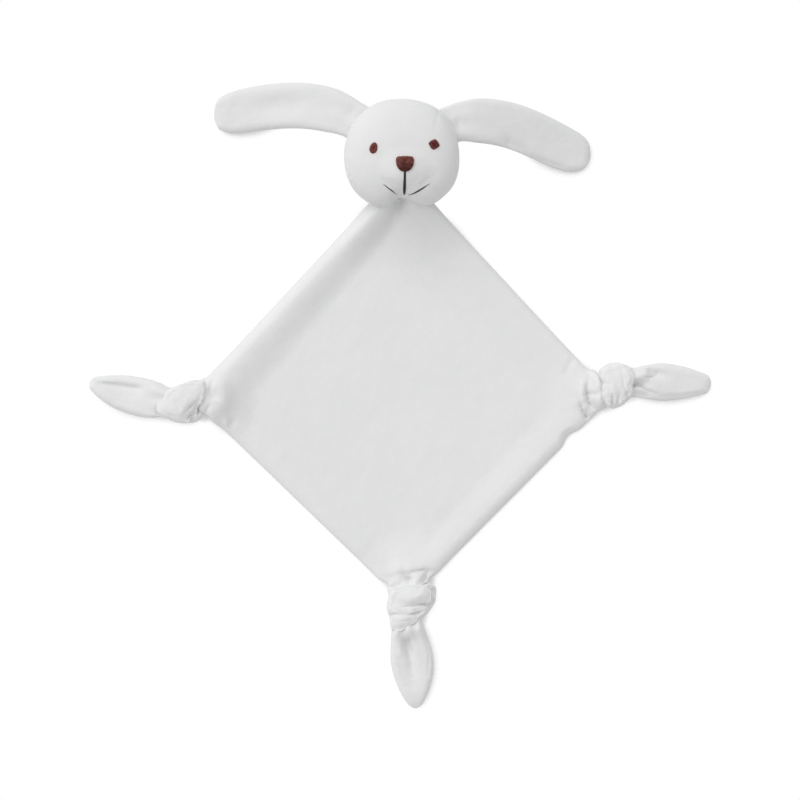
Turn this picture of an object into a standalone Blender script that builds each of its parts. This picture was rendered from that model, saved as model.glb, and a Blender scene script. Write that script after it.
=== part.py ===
"""Comfort blanket lovey, lying flat on its back.

A kite of two cloth panels has its left, right and bottom corners tied in knots and its top corner gathered
into the neck of a stuffed bunny head with two long ears. Metres, +Z up, +Y towards the head, floor at Z = 0,
origin where the blanket's diagonals cross.
"""

import math

import bmesh
import bpy
from mathutils import Matrix, Vector

PART_NAME = "comfort_blanket_lovey"
UP = Vector((0, 0, 1))

# Clearances: between sewn pieces, round a hinge barrel, and between the blanket's top edge and the head
CLOTH_GAP = 0.0003
BARREL_GAP = 0.0003
HEAD_CLEARANCE = 0.0008

# Blanket: reach of its untied corners from the crossing of the diagonals, and its two layers
BLANKET_HALF_WIDTH = 0.1350
BLANKET_TOP_REACH = 0.1450
BLANKET_BOTTOM_REACH = 0.1330
BLANKET_BOTTOM_SHIFT = 0.0028
PANEL_THICKNESS = 0.0023
PANEL_EDGE_SHARE = 0.55
PANEL_EDGE_POWER = 10
CORNER_RISE_REACH = 0.0350
NECK_RISE_REACH = 0.0550

# Folds that run beside the blanket's edges: height, distance inside the edge, half-width
UPPER_LEFT_FOLD_HEIGHT = 0.0055
UPPER_LEFT_FOLD_INSET = 0.0100
UPPER_LEFT_FOLD_HALF_WIDTH = 0.0160
UPPER_RIGHT_FOLD_HEIGHT = 0.0022
UPPER_RIGHT_FOLD_INSET = 0.0160
UPPER_RIGHT_FOLD_HALF_WIDTH = 0.0130
LOWER_LEFT_FOLD_HEIGHT = 0.0016
LOWER_LEFT_FOLD_INSET = 0.0070
LOWER_LEFT_FOLD_HALF_WIDTH = 0.0120
LOWER_RIGHT_FOLD_HEIGHT = 0.0022
LOWER_RIGHT_FOLD_INSET = 0.0120
LOWER_RIGHT_FOLD_HALF_WIDTH = 0.0140
FOLD_START_SHARE = 0.12
FOLD_END_SHARE = 0.90
FOLD_FADE_SHARE = 0.22

# Neck: the gathered top corner, hinged on the blanket and plugged into the head
NECK_TRIM = 0.0307
NECK_SINK = 0.0030
NECK_STANDOFF = 0.0047
NECK_BARREL_RADIUS = 0.0040
NECK_BARREL_HALF_LENGTH = 0.0110
NECK_WAIST_RADIUS = 0.0078
NECK_BULB_RADIUS = 0.0095
NECK_PLUG_DEPTH = 0.0120
NECK_BULB_END_SHARES = ((0.7, 0), (0.93, 0.12), (1, 0.3))
NECK_BULB_HEEL_SHARE = 0.5
NECK_WAIST_START_SHARE = 0.75
NECK_WAIST_END_SHARE = 0.85
NECK_FOLD_LOWEST = -40
NECK_FOLD_HIGHEST = 75
NECK_FLARE_ALLOWANCE = 32

# Head: an oval cushion on its back, sewn from a face panel and a back panel
HEAD_SHIFT = 0.0010
HEAD_HALF_WIDTH = 0.0367
HEAD_HALF_HEIGHT = 0.0344
HEAD_HALF_DEPTH = 0.0230
HEAD_CHEEK_DROP = 0.0030
HEAD_SHELL = 0.0020
HEAD_STUFFING_GAP = 0.0007
HEAD_OUTLINE_POWER = 2.3
HEAD_DEPTH_POWER = 2.3

# Embroidery on the face, measured from the middle of the head
EYE_RAISE = 0.0012
LEFT_EYE_OFFSET = 0.0180
LEFT_EYE_HEIGHT = 0.0007
LEFT_EYE_HALF_WIDTH = 0.0026
LEFT_EYE_HALF_HEIGHT = 0.0037
LEFT_EYE_LEAN = -14
RIGHT_EYE_OFFSET = 0.0195
RIGHT_EYE_HEIGHT = 0.0029
RIGHT_EYE_HALF_WIDTH = 0.0035
RIGHT_EYE_HALF_HEIGHT = 0.0034
RIGHT_EYE_LEAN = 0
NOSE_OFFSET = 0.0014
NOSE_DROP = 0.0089
NOSE_HALF_WIDTH = 0.0057
NOSE_RAISE = 0.0018
NOSE_OUTLINE_SHARES = (
    (0, 1.01), (20, 0.99), (45, 0.95), (70, 0.98),
    (90, 0.98), (125, 1.10), (150, 0.80), (180, 0.66),
)
PHILTRUM_RADIUS = 0.0007
PHILTRUM_LENGTH = 0.0126
SMILE_RADIUS = 0.0005
SMILE_HALF_WIDTH = 0.0128
SMILE_RISE = 0.0058

# Ears: two layers each, sewn into the head's side seam; angles and headings are counter-clockwise from +X
EAR_BARREL_RADIUS = 0.0035
EAR_STANDOFF = 0.0010
EAR_FOLD_LOWEST = -45
EAR_FOLD_HIGHEST = 90
EAR_DROOP_ALLOWANCE = 22
EAR_LENGTH = 0.0893
EAR_HALF_WIDTH = 0.0144
EAR_HALF_THICKNESS = 0.0046
EAR_REST_HEIGHT = 0.0048
EAR_EDGE_SHARE = 0.36
EAR_VALLEY_DEPTH = 0.0016
LEFT_EAR_ANGLE = 145
LEFT_EAR_HEADING_SHARES = ((0, 145), (0.1, 157), (0.3, 172), (0.5, 180), (0.8, 187), (1, 188))
RIGHT_EAR_ANGLE = 32
RIGHT_EAR_HEADING_SHARES = (
    (0, 32), (0.07, 13), (0.2, 2), (0.35, -10),
    (0.5, -21), (0.7, -27), (0.85, -23), (1, -12),
)
EAR_WIDTH_SHARES = (
    (0, 0.80), (0.15, 0.93), (0.3, 1), (0.6, 1), (0.75, 0.98),
    (0.86, 0.90), (0.93, 0.74), (0.98, 0.5), (1, 0.3),
)
EAR_HEIGHT_SHARES = ((0, 1), (0.12, 0.93), (0.35, 0.55), (0.55, 0.2), (0.75, 0.03), (1, 0))
EAR_SWELL_SHARES = ((0, 0.76), (0.15, 0.82), (0.4, 1), (0.8, 0.92), (1, 0.6))

# Knots and tails at the tied corners
KNOT_BARREL_RADIUS = 0.0035
KNOT_BARREL_HALF_LENGTH = 0.0105
KNOT_FOLD_LOWEST = -40
KNOT_FOLD_HIGHEST = 40
KNOT_LENGTH = 0.0262
KNOT_HEIGHT = 0.0240
KNOT_HINGE_DROP = 0.0020
KNOT_CORE_SHARE = 0.88
KNOT_WRAP_RADIUS = 0.0052
TAIL_BARREL_RADIUS = 0.0035
TAIL_SET_BACK = 0.0012
TAIL_FOLD_LOWEST = -45
TAIL_FOLD_HIGHEST = 45
TAIL_SPREAD_ALLOWANCE = 12
TAIL_HALF_THICKNESS = 0.0056
TAIL_REST_HEIGHT = 0.0058
TAIL_EDGE_SHARE = 0.35
TAIL_VALLEY_DEPTH = 0.0024
TAIL_HEIGHT_SHARES = ((0, 1), (0.15, 0.8), (0.35, 0.35), (0.6, 0.06), (1, 0))
TAIL_SWELL_SHARES = ((0, 0.62), (0.15, 0.8), (0.4, 1), (0.8, 0.85), (1, 0.5))

LEFT_TRIM = 0.0117
LEFT_KNOT_SHIFT = -0.0019
LEFT_KNOT_ANGLE = 184
LEFT_KNOT_WIDTH = 0.0280
LEFT_WRAP_TURN = -24
LEFT_TAIL_LENGTH = 0.0520
LEFT_TAIL_HALF_WIDTH = 0.0124
LEFT_TAIL_HEADING_SHARES = ((0, 171), (0.3, 168), (0.6, 165), (1, 158))
LEFT_TAIL_WIDTH_SHARES = (
    (0, 0.72), (0.15, 0.92), (0.35, 1), (0.6, 0.9),
    (0.8, 0.66), (0.93, 0.36), (1, 0.12),
)

RIGHT_TRIM = 0.0096
RIGHT_KNOT_SHIFT = 0.0029
RIGHT_KNOT_ANGLE = 14
RIGHT_KNOT_WIDTH = 0.0290
RIGHT_WRAP_TURN = 20
RIGHT_TAIL_LENGTH = 0.0480
RIGHT_TAIL_HALF_WIDTH = 0.0121
RIGHT_TAIL_HEADING_SHARES = ((0, 3), (0.3, 0), (0.6, -3), (1, -5))
RIGHT_TAIL_WIDTH_SHARES = (
    (0, 0.78), (0.15, 0.9), (0.35, 1), (0.6, 0.88),
    (0.8, 0.68), (0.94, 0.46), (1, 0.22),
)

BOTTOM_TRIM = 0.0139
BOTTOM_KNOT_SHIFT = 0.0036
BOTTOM_KNOT_ANGLE = -95
BOTTOM_KNOT_WIDTH = 0.0315
BOTTOM_WRAP_TURN = 4
BOTTOM_TAIL_LENGTH = 0.0535
BOTTOM_TAIL_HALF_WIDTH = 0.0136
BOTTOM_TAIL_HEADING_SHARES = ((0, -84), (0.3, -82), (0.6, -85), (1, -88))
BOTTOM_TAIL_WIDTH_SHARES = (
    (0, 0.7), (0.15, 0.84), (0.4, 1), (0.6, 0.95),
    (0.8, 0.72), (0.93, 0.42), (1, 0.18),
)

# Cutters run past what they cut by these, and points nearer than this are one point
CUT_REACH = 0.0300
CUT_HALF_SPAN = 0.0300
MERGE_DISTANCE = 0.00001

# Counts of faces
BLANKET_SEGMENTS = 18
HEAD_SEGMENTS = 32
HEAD_RINGS = 16
STUFFING_SEGMENTS = 24
STUFFING_RINGS = 12
EAR_ROWS = 16
EAR_COLUMNS = 6
TAIL_ROWS = 12
TAIL_COLUMNS = 8
BARREL_ROWS = 3
BARREL_SEGMENTS = 20
ARC_STEPS = 8
FAN_STEPS = 4
TURNED_STEPS = 24
KNOT_SEGMENTS = 20
KNOT_RINGS = 12
WRAP_SEGMENTS = 28
WRAP_SIDES = 10
EYE_SEGMENTS = 14
EYE_RINGS = 6
NOSE_SEGMENTS = 24
NOSE_RINGS = 8
SMILE_STEPS = 16
PHILTRUM_STEPS = 6
WALK_STEPS = 60

# Powers of the squared-off outlines of the right eye and of the leaves' sections
RIGHT_EYE_POWER = 1.6
LEAF_EDGE_POWER = 4

VELOUR = (0.76, 0.77, 0.76, 1)
FIBRE = (0.90, 0.90, 0.88, 1)
NOSE_BROWN = (0.098, 0.026, 0.019, 1)
EYE_BROWN = (0.105, 0.035, 0.030, 1)
MOUTH_BROWN = (0.026, 0.016, 0.015, 1)

# Places worked out from the sizes above
LEFT_TIP = Vector((-BLANKET_HALF_WIDTH, 0, 0))
RIGHT_TIP = Vector((BLANKET_HALF_WIDTH, 0, 0))
TOP_TIP = Vector((0, BLANKET_TOP_REACH, 0))
BOTTOM_TIP = Vector((BLANKET_BOTTOM_SHIFT, -BLANKET_BOTTOM_REACH, 0))
STACK_THICKNESS = 2 * PANEL_THICKNESS + CLOTH_GAP
NECK_HINGE = Vector((HEAD_SHIFT, BLANKET_TOP_REACH - NECK_TRIM, HEAD_HALF_DEPTH - NECK_SINK))
HEAD_BOTTOM = NECK_HINGE.y + NECK_STANDOFF
HEAD_CENTRE = Vector((HEAD_SHIFT, HEAD_BOTTOM + HEAD_HALF_HEIGHT, HEAD_HALF_DEPTH))


def table_value(stations, share):
    """Smooth value at share of a table of (share, value) rows, with no overshoot between equal values."""
    if share <= stations[0][0]:
        return stations[0][1]
    if share >= stations[-1][0]:
        return stations[-1][1]
    index = max(i for i, row in enumerate(stations[:-1]) if row[0] <= share)

    def slope(i):
        before = stations[max(i - 1, 0)]
        after = stations[min(i + 1, len(stations) - 1)]
        return (after[1] - before[1]) / (after[0] - before[0])

    (x0, y0), (x1, y1) = stations[index], stations[index + 1]
    span = x1 - x0
    t = (share - x0) / span
    blend = t * t * (3 - 2 * t)
    bend = t * (1 - t) ** 2 * slope(index) - t * t * (1 - t) * slope(index + 1)
    return y0 + (y1 - y0) * blend + bend * span


def fade(distance, reach):
    """1 at no distance, easing to 0 at reach."""
    t = min(max(1 - distance / reach, 0), 1)
    return t * t * (3 - 2 * t)


def heading_vector(degrees):
    angle = math.radians(degrees)
    return Vector((math.cos(angle), math.sin(angle), 0))


def signed_power(value, power):
    return math.copysign(abs(value) ** power, value)


class Corner:
    """A tied corner: where its knot hinges on the blanket, and where its tail hinges on the knot."""

    def __init__(self, name, tip, trim, shift, knot_angle, knot_width, wrap_turn, tail):
        inward = -tip.normalized()
        across = Vector((abs(inward.y), abs(inward.x), 0))
        self.name = name
        self.hinge_height = KNOT_HEIGHT / 2 - KNOT_HINGE_DROP
        self.hinge = tip + inward * trim + across * shift + UP * self.hinge_height
        self.outward = heading_vector(knot_angle)
        self.knot_angle = knot_angle
        self.knot_width = knot_width
        self.wrap_turn = wrap_turn
        self.knot_centre = self.hinge + self.outward * (KNOT_LENGTH / 2) + UP * KNOT_HINGE_DROP
        self.tail_length, self.tail_half_width, self.tail_headings, self.tail_widths = tail
        self.tail_outward = heading_vector(table_value(self.tail_headings, 0))
        self.tail_hinge = self.hinge + self.outward * (KNOT_LENGTH - TAIL_SET_BACK)


CORNERS = (
    Corner(
        "left",
        LEFT_TIP,
        LEFT_TRIM,
        LEFT_KNOT_SHIFT,
        LEFT_KNOT_ANGLE,
        LEFT_KNOT_WIDTH,
        LEFT_WRAP_TURN,
        (LEFT_TAIL_LENGTH, LEFT_TAIL_HALF_WIDTH, LEFT_TAIL_HEADING_SHARES, LEFT_TAIL_WIDTH_SHARES),
    ),
    Corner(
        "right",
        RIGHT_TIP,
        RIGHT_TRIM,
        RIGHT_KNOT_SHIFT,
        RIGHT_KNOT_ANGLE,
        RIGHT_KNOT_WIDTH,
        RIGHT_WRAP_TURN,
        (RIGHT_TAIL_LENGTH, RIGHT_TAIL_HALF_WIDTH, RIGHT_TAIL_HEADING_SHARES, RIGHT_TAIL_WIDTH_SHARES),
    ),
    Corner(
        "bottom",
        BOTTOM_TIP,
        BOTTOM_TRIM,
        BOTTOM_KNOT_SHIFT,
        BOTTOM_KNOT_ANGLE,
        BOTTOM_KNOT_WIDTH,
        BOTTOM_WRAP_TURN,
        (BOTTOM_TAIL_LENGTH, BOTTOM_TAIL_HALF_WIDTH, BOTTOM_TAIL_HEADING_SHARES, BOTTOM_TAIL_WIDTH_SHARES),
    ),
)


# Scene, collections and finishes
for leftover in list(bpy.data.objects):
    bpy.data.objects.remove(leftover, do_unlink=True)

parts = bpy.data.collections.new(PART_NAME)
cutters = bpy.data.collections.new("cutters")
for collection in (parts, cutters):
    bpy.context.scene.collection.children.link(collection)


def link_mesh(bm, name, collection):
    mesh = bpy.data.meshes.new(name)
    bmesh.ops.recalc_face_normals(bm, faces=bm.faces)
    bm.to_mesh(mesh)
    bm.free()
    obj = bpy.data.objects.new(name, mesh)
    collection.objects.link(obj)
    if collection is cutters:
        obj.hide_render = True
        obj.display_type = "WIRE"
    return obj


def set_finish(obj, colour, roughness, smooth=True):
    material = bpy.data.materials.new(obj.name + "_finish")
    material.use_nodes = True
    shader = material.node_tree.nodes["Principled BSDF"]
    shader.inputs["Base Color"].default_value = colour
    shader.inputs["Roughness"].default_value = roughness
    shader.inputs["Metallic"].default_value = 0
    obj.data.materials.append(material)
    if smooth and obj.type == "MESH":
        obj.data.shade_smooth()
        obj.data.set_sharp_from_angle(angle=math.radians(50))


def cut(obj, tool, operation="DIFFERENCE"):
    modifier = obj.modifiers.new(tool.name, "BOOLEAN")
    modifier.operation = operation
    modifier.object = tool


def place_pivot(name, location, parent=None):
    empty = bpy.data.objects.new(name, None)
    empty.empty_display_size = NECK_BARREL_HALF_LENGTH
    empty.location = location
    empty["place"] = location
    parts.objects.link(empty)
    if parent:
        hang(empty, parent)
    return empty


def hang(child, parent):
    """Parents child to an unturned pivot and keeps child where it is."""
    child.parent = parent
    child.matrix_parent_inverse = Matrix.Translation(-Vector(parent["place"]))


def stand(obj, origin, outward):
    """Turns a piece made in its own X (outward), Y (up), Z (along the hinge) to its place."""
    along = outward.cross(UP)
    turn = Matrix((outward, UP, along)).transposed().to_4x4()
    obj.matrix_world = Matrix.Translation(origin) @ turn


# Cutters and turned pieces
def hinge_relief(name, hinge, outward, radius, lowest, highest, half_span):
    """The seat of a hinge barrel and the fan that the piece on it sweeps, lowest to highest degrees."""
    low, high = math.radians(lowest), math.radians(highest)

    def along(angle):
        return Vector((math.cos(angle), math.sin(angle), 0))

    def beside(angle):
        return Vector((-math.sin(angle), math.cos(angle), 0)) * radius

    outline = [beside(high), beside(high) + along(high) * CUT_REACH]
    for step in range(1, FAN_STEPS):
        angle = high + (low - high) * step / FAN_STEPS
        outline.append(along(angle) * (CUT_REACH + radius))
    outline += [along(low) * CUT_REACH - beside(low), -beside(low)]
    start, end = low - math.pi / 2, high - 3 * math.pi / 2
    for step in range(1, ARC_STEPS):
        outline.append(along(start + (end - start) * step / ARC_STEPS) * radius)
    bm = bmesh.new()
    face = bm.faces.new([bm.verts.new(point - UP * half_span) for point in outline])
    grown = bmesh.ops.extrude_face_region(bm, geom=[face], use_keep_orig=True)
    moved = [item for item in grown["geom"] if isinstance(item, bmesh.types.BMVert)]
    bmesh.ops.translate(bm, verts=moved, vec=UP * (2 * half_span))
    relief = link_mesh(bm, name, cutters)
    stand(relief, hinge, outward)
    return relief


def barrel(name, hinge, outward, radius, half_length):
    bm = bmesh.new()
    bmesh.ops.create_cone(
        bm, cap_ends=True, segments=BARREL_SEGMENTS, radius1=radius, radius2=radius, depth=2 * half_length
    )
    tool = link_mesh(bm, name, cutters)
    stand(tool, hinge, outward)
    return tool


def turned(name, profile, location, collection):
    """Turns a profile of (radius, distance) rows, far end first, about an axis that runs towards the head."""
    bm = bmesh.new()
    points = [bm.verts.new((radius, 0, distance)) for radius, distance in profile]
    for first, second in zip(points, points[1:]):
        bm.edges.new((first, second))
    mesh = bpy.data.meshes.new(name)
    bm.to_mesh(mesh)
    bm.free()
    obj = bpy.data.objects.new(name, mesh)
    collection.objects.link(obj)
    if collection is cutters:
        obj.hide_render = True
        obj.display_type = "WIRE"
    screw = obj.modifiers.new("turn", "SCREW")
    screw.steps = TURNED_STEPS
    screw.render_steps = TURNED_STEPS
    screw.use_merge_vertices = True
    screw.merge_threshold = MERGE_DISTANCE
    screw.use_normal_calculate = True
    obj.location = location
    obj.rotation_euler = (-math.pi / 2, 0, 0)
    return obj


def slab(name, rows, columns, place):
    """A closed sheet of two sides. place(u, v, side) gives each point; u and v run from -1 to 1."""
    bm = bmesh.new()
    bmesh.ops.create_grid(bm, x_segments=rows, y_segments=columns, size=1)
    # Split here, so that two layers that face each other bend along the same lines
    bmesh.ops.triangulate(bm, faces=bm.faces, quad_method="FIXED")
    grown = bmesh.ops.extrude_face_region(bm, geom=bm.faces[:], use_keep_orig=True)
    upper = {item for item in grown["geom"] if isinstance(item, bmesh.types.BMVert)}
    for vert in bm.verts:
        vert.co = place(vert.co.x, vert.co.y, 1 if vert in upper else 0)
    return link_mesh(bm, name, parts)


# Blanket
def fold_height(inside, along, height, inset, half_width):
    ends = fade(max(FOLD_START_SHARE + FOLD_FADE_SHARE - along, 0), FOLD_FADE_SHARE) * fade(
        max(along - FOLD_END_SHARE + FOLD_FADE_SHARE, 0), FOLD_FADE_SHARE
    )
    return height * ends * fade(abs(inside - inset), half_width)


EDGE_FOLDS = (
    (TOP_TIP, LEFT_TIP, UPPER_LEFT_FOLD_HEIGHT, UPPER_LEFT_FOLD_INSET, UPPER_LEFT_FOLD_HALF_WIDTH),
    (TOP_TIP, RIGHT_TIP, UPPER_RIGHT_FOLD_HEIGHT, UPPER_RIGHT_FOLD_INSET, UPPER_RIGHT_FOLD_HALF_WIDTH),
    (BOTTOM_TIP, LEFT_TIP, LOWER_LEFT_FOLD_HEIGHT, LOWER_LEFT_FOLD_INSET, LOWER_LEFT_FOLD_HALF_WIDTH),
    (BOTTOM_TIP, RIGHT_TIP, LOWER_RIGHT_FOLD_HEIGHT, LOWER_RIGHT_FOLD_INSET, LOWER_RIGHT_FOLD_HALF_WIDTH),
)


def blanket_middle(x, y):
    """Height of the plane between the two panels."""
    height = STACK_THICKNESS / 2
    spot = Vector((x, y, 0))
    for tip, far_tip, fold, inset, half_width in EDGE_FOLDS:
        edge = far_tip - tip
        offset = spot - tip
        inside = abs(edge.cross(offset).z) / edge.length
        along = edge.dot(offset) / edge.length_squared
        height += fold_height(inside, along, fold, inset, half_width)
    for corner in CORNERS:
        foot = corner.hinge - UP * corner.hinge.z
        rise = corner.hinge.z - STACK_THICKNESS / 2
        height += rise * fade(max((spot - foot).length - KNOT_BARREL_RADIUS, 0), CORNER_RISE_REACH)
    foot = NECK_HINGE - UP * NECK_HINGE.z
    rise = NECK_HINGE.z - STACK_THICKNESS / 2
    height += rise * fade(max((spot - foot).length - NECK_BARREL_HALF_LENGTH, 0), NECK_RISE_REACH)
    return height


def make_panel(name, side):
    """side 1 is the front panel, on top, and -1 the back panel, against the floor."""

    def place(u, v, outer):
        across, ahead = (u - v) / 2, (u + v) / 2
        spot = abs(across) * (RIGHT_TIP if across > 0 else LEFT_TIP)
        spot = spot + abs(ahead) * (TOP_TIP if ahead > 0 else BOTTOM_TIP)
        thickness = PANEL_THICKNESS
        if side > 0:
            thickness *= 1 - (1 - PANEL_EDGE_SHARE) * max(abs(u), abs(v)) ** PANEL_EDGE_POWER
        offset = CLOTH_GAP / 2 + (thickness if outer else 0)
        return spot + UP * (blanket_middle(spot.x, spot.y) + side * offset)

    panel = slab(name, BLANKET_SEGMENTS, BLANKET_SEGMENTS, place)
    for tool in blanket_cuts:
        cut(panel, tool)
    set_finish(panel, VELOUR, 0.95)
    return panel


blanket_cuts = [
    hinge_relief(
        corner.name + "_knot_seat",
        corner.hinge,
        corner.outward,
        KNOT_BARREL_RADIUS + BARREL_GAP,
        KNOT_FOLD_LOWEST,
        KNOT_FOLD_HIGHEST,
        CUT_HALF_SPAN,
    )
    for corner in CORNERS
]
blanket_cuts.append(
    hinge_relief(
        "neck_seat",
        NECK_HINGE,
        Vector((0, 1, 0)),
        NECK_BARREL_RADIUS + BARREL_GAP,
        NECK_FOLD_LOWEST,
        NECK_FOLD_HIGHEST + NECK_FLARE_ALLOWANCE,
        NECK_BARREL_HALF_LENGTH + BARREL_GAP,
    )
)
bm = bmesh.new()
bmesh.ops.create_cube(bm, size=1)
for vert in bm.verts:
    vert.co = Vector((
        HEAD_CENTRE.x + vert.co.x * 2 * BLANKET_HALF_WIDTH,
        HEAD_BOTTOM - HEAD_CLEARANCE + (vert.co.y + 1 / 2) * BLANKET_TOP_REACH,
        HEAD_CENTRE.z + vert.co.z * 2 * BLANKET_TOP_REACH,
    ))
blanket_cuts.append(link_mesh(bm, "head_space", cutters))

blanket = place_pivot("blanket_body", Vector((0, 0, 0)))
hang(make_panel("blanket_front_panel", 1), blanket)
hang(make_panel("blanket_back_panel", -1), blanket)

# Neck
neck = place_pivot("neck_body", NECK_HINGE, blanket)
NECK_TOP = NECK_STANDOFF + NECK_PLUG_DEPTH


def neck_profile(extra):
    """(radius, distance from the hinge), far end first, grown all round by extra."""
    bulb, waist = NECK_BULB_RADIUS + extra, NECK_WAIST_RADIUS + extra
    profile = [(0, NECK_TOP + extra)]
    for radius_share, back_share in NECK_BULB_END_SHARES:
        profile.append((bulb * radius_share, NECK_TOP + extra - NECK_BULB_RADIUS * back_share))
    profile += [
        (bulb, NECK_TOP - extra - NECK_BULB_RADIUS * NECK_BULB_HEEL_SHARE),
        (waist, NECK_TOP - extra - NECK_BULB_RADIUS * NECK_WAIST_START_SHARE),
        (waist, NECK_STANDOFF * NECK_WAIST_END_SHARE),
        (NECK_BARREL_RADIUS + extra, 0),
        (0, 0),
    ]
    return profile


neck_gather = turned("neck_gather", neck_profile(0), NECK_HINGE, parts)
cut(
    neck_gather,
    barrel("neck_barrel", NECK_HINGE, Vector((0, 1, 0)), NECK_BARREL_RADIUS, NECK_BARREL_HALF_LENGTH),
    "UNION",
)
set_finish(neck_gather, VELOUR, 0.95)
hang(neck_gather, neck)
head_cuts = [turned("neck_opening", neck_profile(CLOTH_GAP), NECK_HINGE, cutters)]

# Head
head = place_pivot("head_body", Vector((NECK_HINGE.x, HEAD_BOTTOM, NECK_HINGE.z)), neck)


def outline_reach(angle):
    """Reach of the head's squared-off oval outline, as a share of its half-width and half-height."""
    across, ahead = abs(math.cos(angle)), abs(math.sin(angle))
    return (across ** HEAD_OUTLINE_POWER + ahead ** HEAD_OUTLINE_POWER) ** (-1 / HEAD_OUTLINE_POWER)


def head_surface(unit, inset=0):
    """The point of the head in the direction of a point on the unit sphere."""
    angle = math.atan2(unit.y, unit.x)
    radius = math.hypot(unit.x, unit.y) ** (2 / HEAD_DEPTH_POWER) * outline_reach(angle)
    x = (HEAD_HALF_WIDTH - inset) * radius * math.cos(angle)
    y = (HEAD_HALF_HEIGHT - inset) * radius * math.sin(angle)
    y -= HEAD_CHEEK_DROP * (1 - (y / HEAD_HALF_HEIGHT) ** 2)
    z = (HEAD_HALF_DEPTH - inset) * signed_power(unit.z, 2 / HEAD_DEPTH_POWER)
    return HEAD_CENTRE + Vector((x, y, z))


def face_height(x, y):
    """Height of the face above the floor at a point of the plan."""
    x -= HEAD_CENTRE.x
    y -= HEAD_CENTRE.y
    drop = HEAD_CHEEK_DROP * (1 - ((y + HEAD_CHEEK_DROP) / HEAD_HALF_HEIGHT) ** 2)
    x, y = x / HEAD_HALF_WIDTH, (y + drop) / HEAD_HALF_HEIGHT
    radius = math.hypot(x, y) / outline_reach(math.atan2(y, x))
    return HEAD_CENTRE.z + HEAD_HALF_DEPTH * (1 - radius ** HEAD_DEPTH_POWER) ** (1 / HEAD_DEPTH_POWER)


def make_cup(name, side):
    bm = bmesh.new()
    bmesh.ops.create_uvsphere(bm, u_segments=HEAD_SEGMENTS, v_segments=HEAD_RINGS, radius=1)
    beyond = [vert for vert in bm.verts if vert.co.z * side < -CLOTH_GAP]
    bmesh.ops.delete(bm, geom=beyond, context="VERTS")
    grown = bmesh.ops.extrude_face_region(bm, geom=bm.faces[:], use_keep_orig=True)
    inner = {item for item in grown["geom"] if isinstance(item, bmesh.types.BMVert)}
    for vert in bm.verts:
        inset = HEAD_SHELL if vert in inner else 0
        vert.co = head_surface(vert.co.normalized(), inset) + UP * side * CLOTH_GAP / 2
    cup = link_mesh(bm, name, parts)
    for tool in head_cuts:
        cut(cup, tool)
    set_finish(cup, VELOUR, 0.95)
    hang(cup, head)


# Ears
def walk(hinge, headings, length):
    """Points and headings along a spine whose heading follows a table, hinge first."""
    spots = [hinge.copy()]
    turns = [table_value(headings, 0)]
    for step in range(WALK_STEPS):
        middle = table_value(headings, (step + 1 / 2) / WALK_STEPS)
        spots.append(spots[-1] + heading_vector(middle) * (length / WALK_STEPS))
        turns.append(table_value(headings, (step + 1) / WALK_STEPS))
    return spots, turns


def along_walk(path, share):
    spots, turns = path
    place = min(max(share, 0), 1) * WALK_STEPS
    index = min(int(place), WALK_STEPS - 1)
    part = place - index
    turn = turns[index] * (1 - part) + turns[index + 1] * part
    return spots[index].lerp(spots[index + 1], part), turn


def leaf_point(path, u, v, rows, shape):
    """Middle point of a leaf that starts at a hinge barrel, and the half-thickness there."""
    row = round((u + 1) / 2 * rows)
    radius = shape["barrel_radius"]
    if row < BARREL_ROWS:
        angle = math.pi / 2 * (row + 1) / (BARREL_ROWS + 1)
        share, back = 0, radius * math.cos(angle)
        half_thickness = radius * math.sin(angle)
    else:
        share, back = (row - BARREL_ROWS) / (rows - BARREL_ROWS), 0
        half_thickness = shape["half_thickness"] * table_value(shape["swell"], share)
    spot, turn = along_walk(path, share)
    across = heading_vector(turn + 90)
    half_width = shape["half_width"] * table_value(shape["widths"], share)
    spot = spot + across * (v * half_width) - heading_vector(turn) * back
    rest = shape["rest_height"]
    spot.z = rest + (path[0][0].z - rest) * table_value(shape["heights"], share)
    half_thickness *= 1 - (1 - shape["edge_share"]) * abs(v) ** LEAF_EDGE_POWER * min(share * rows, 1)
    return spot, half_thickness, share


def valley(share, v, depth):
    """A trough down the middle of a leaf's upper side, dying out at both ends."""
    return depth * math.sin(math.pi * share) * fade(abs(v), 1)


def make_ear_layer(name, path, side, parent):
    shape = {
        "barrel_radius": EAR_BARREL_RADIUS,
        "half_thickness": EAR_HALF_THICKNESS,
        "half_width": EAR_HALF_WIDTH,
        "rest_height": EAR_REST_HEIGHT,
        "edge_share": EAR_EDGE_SHARE,
        "widths": EAR_WIDTH_SHARES,
        "heights": EAR_HEIGHT_SHARES,
        "swell": EAR_SWELL_SHARES,
    }

    def place(u, v, outer):
        spot, half_thickness, share = leaf_point(path, u, v, EAR_ROWS, shape)
        if outer and side > 0:
            half_thickness -= valley(share, v, EAR_VALLEY_DEPTH)
        return spot + UP * side * (half_thickness if outer else CLOTH_GAP / 2)

    layer = slab(name, EAR_ROWS, EAR_COLUMNS, place)
    set_finish(layer, VELOUR, 0.95)
    hang(layer, parent)


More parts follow.
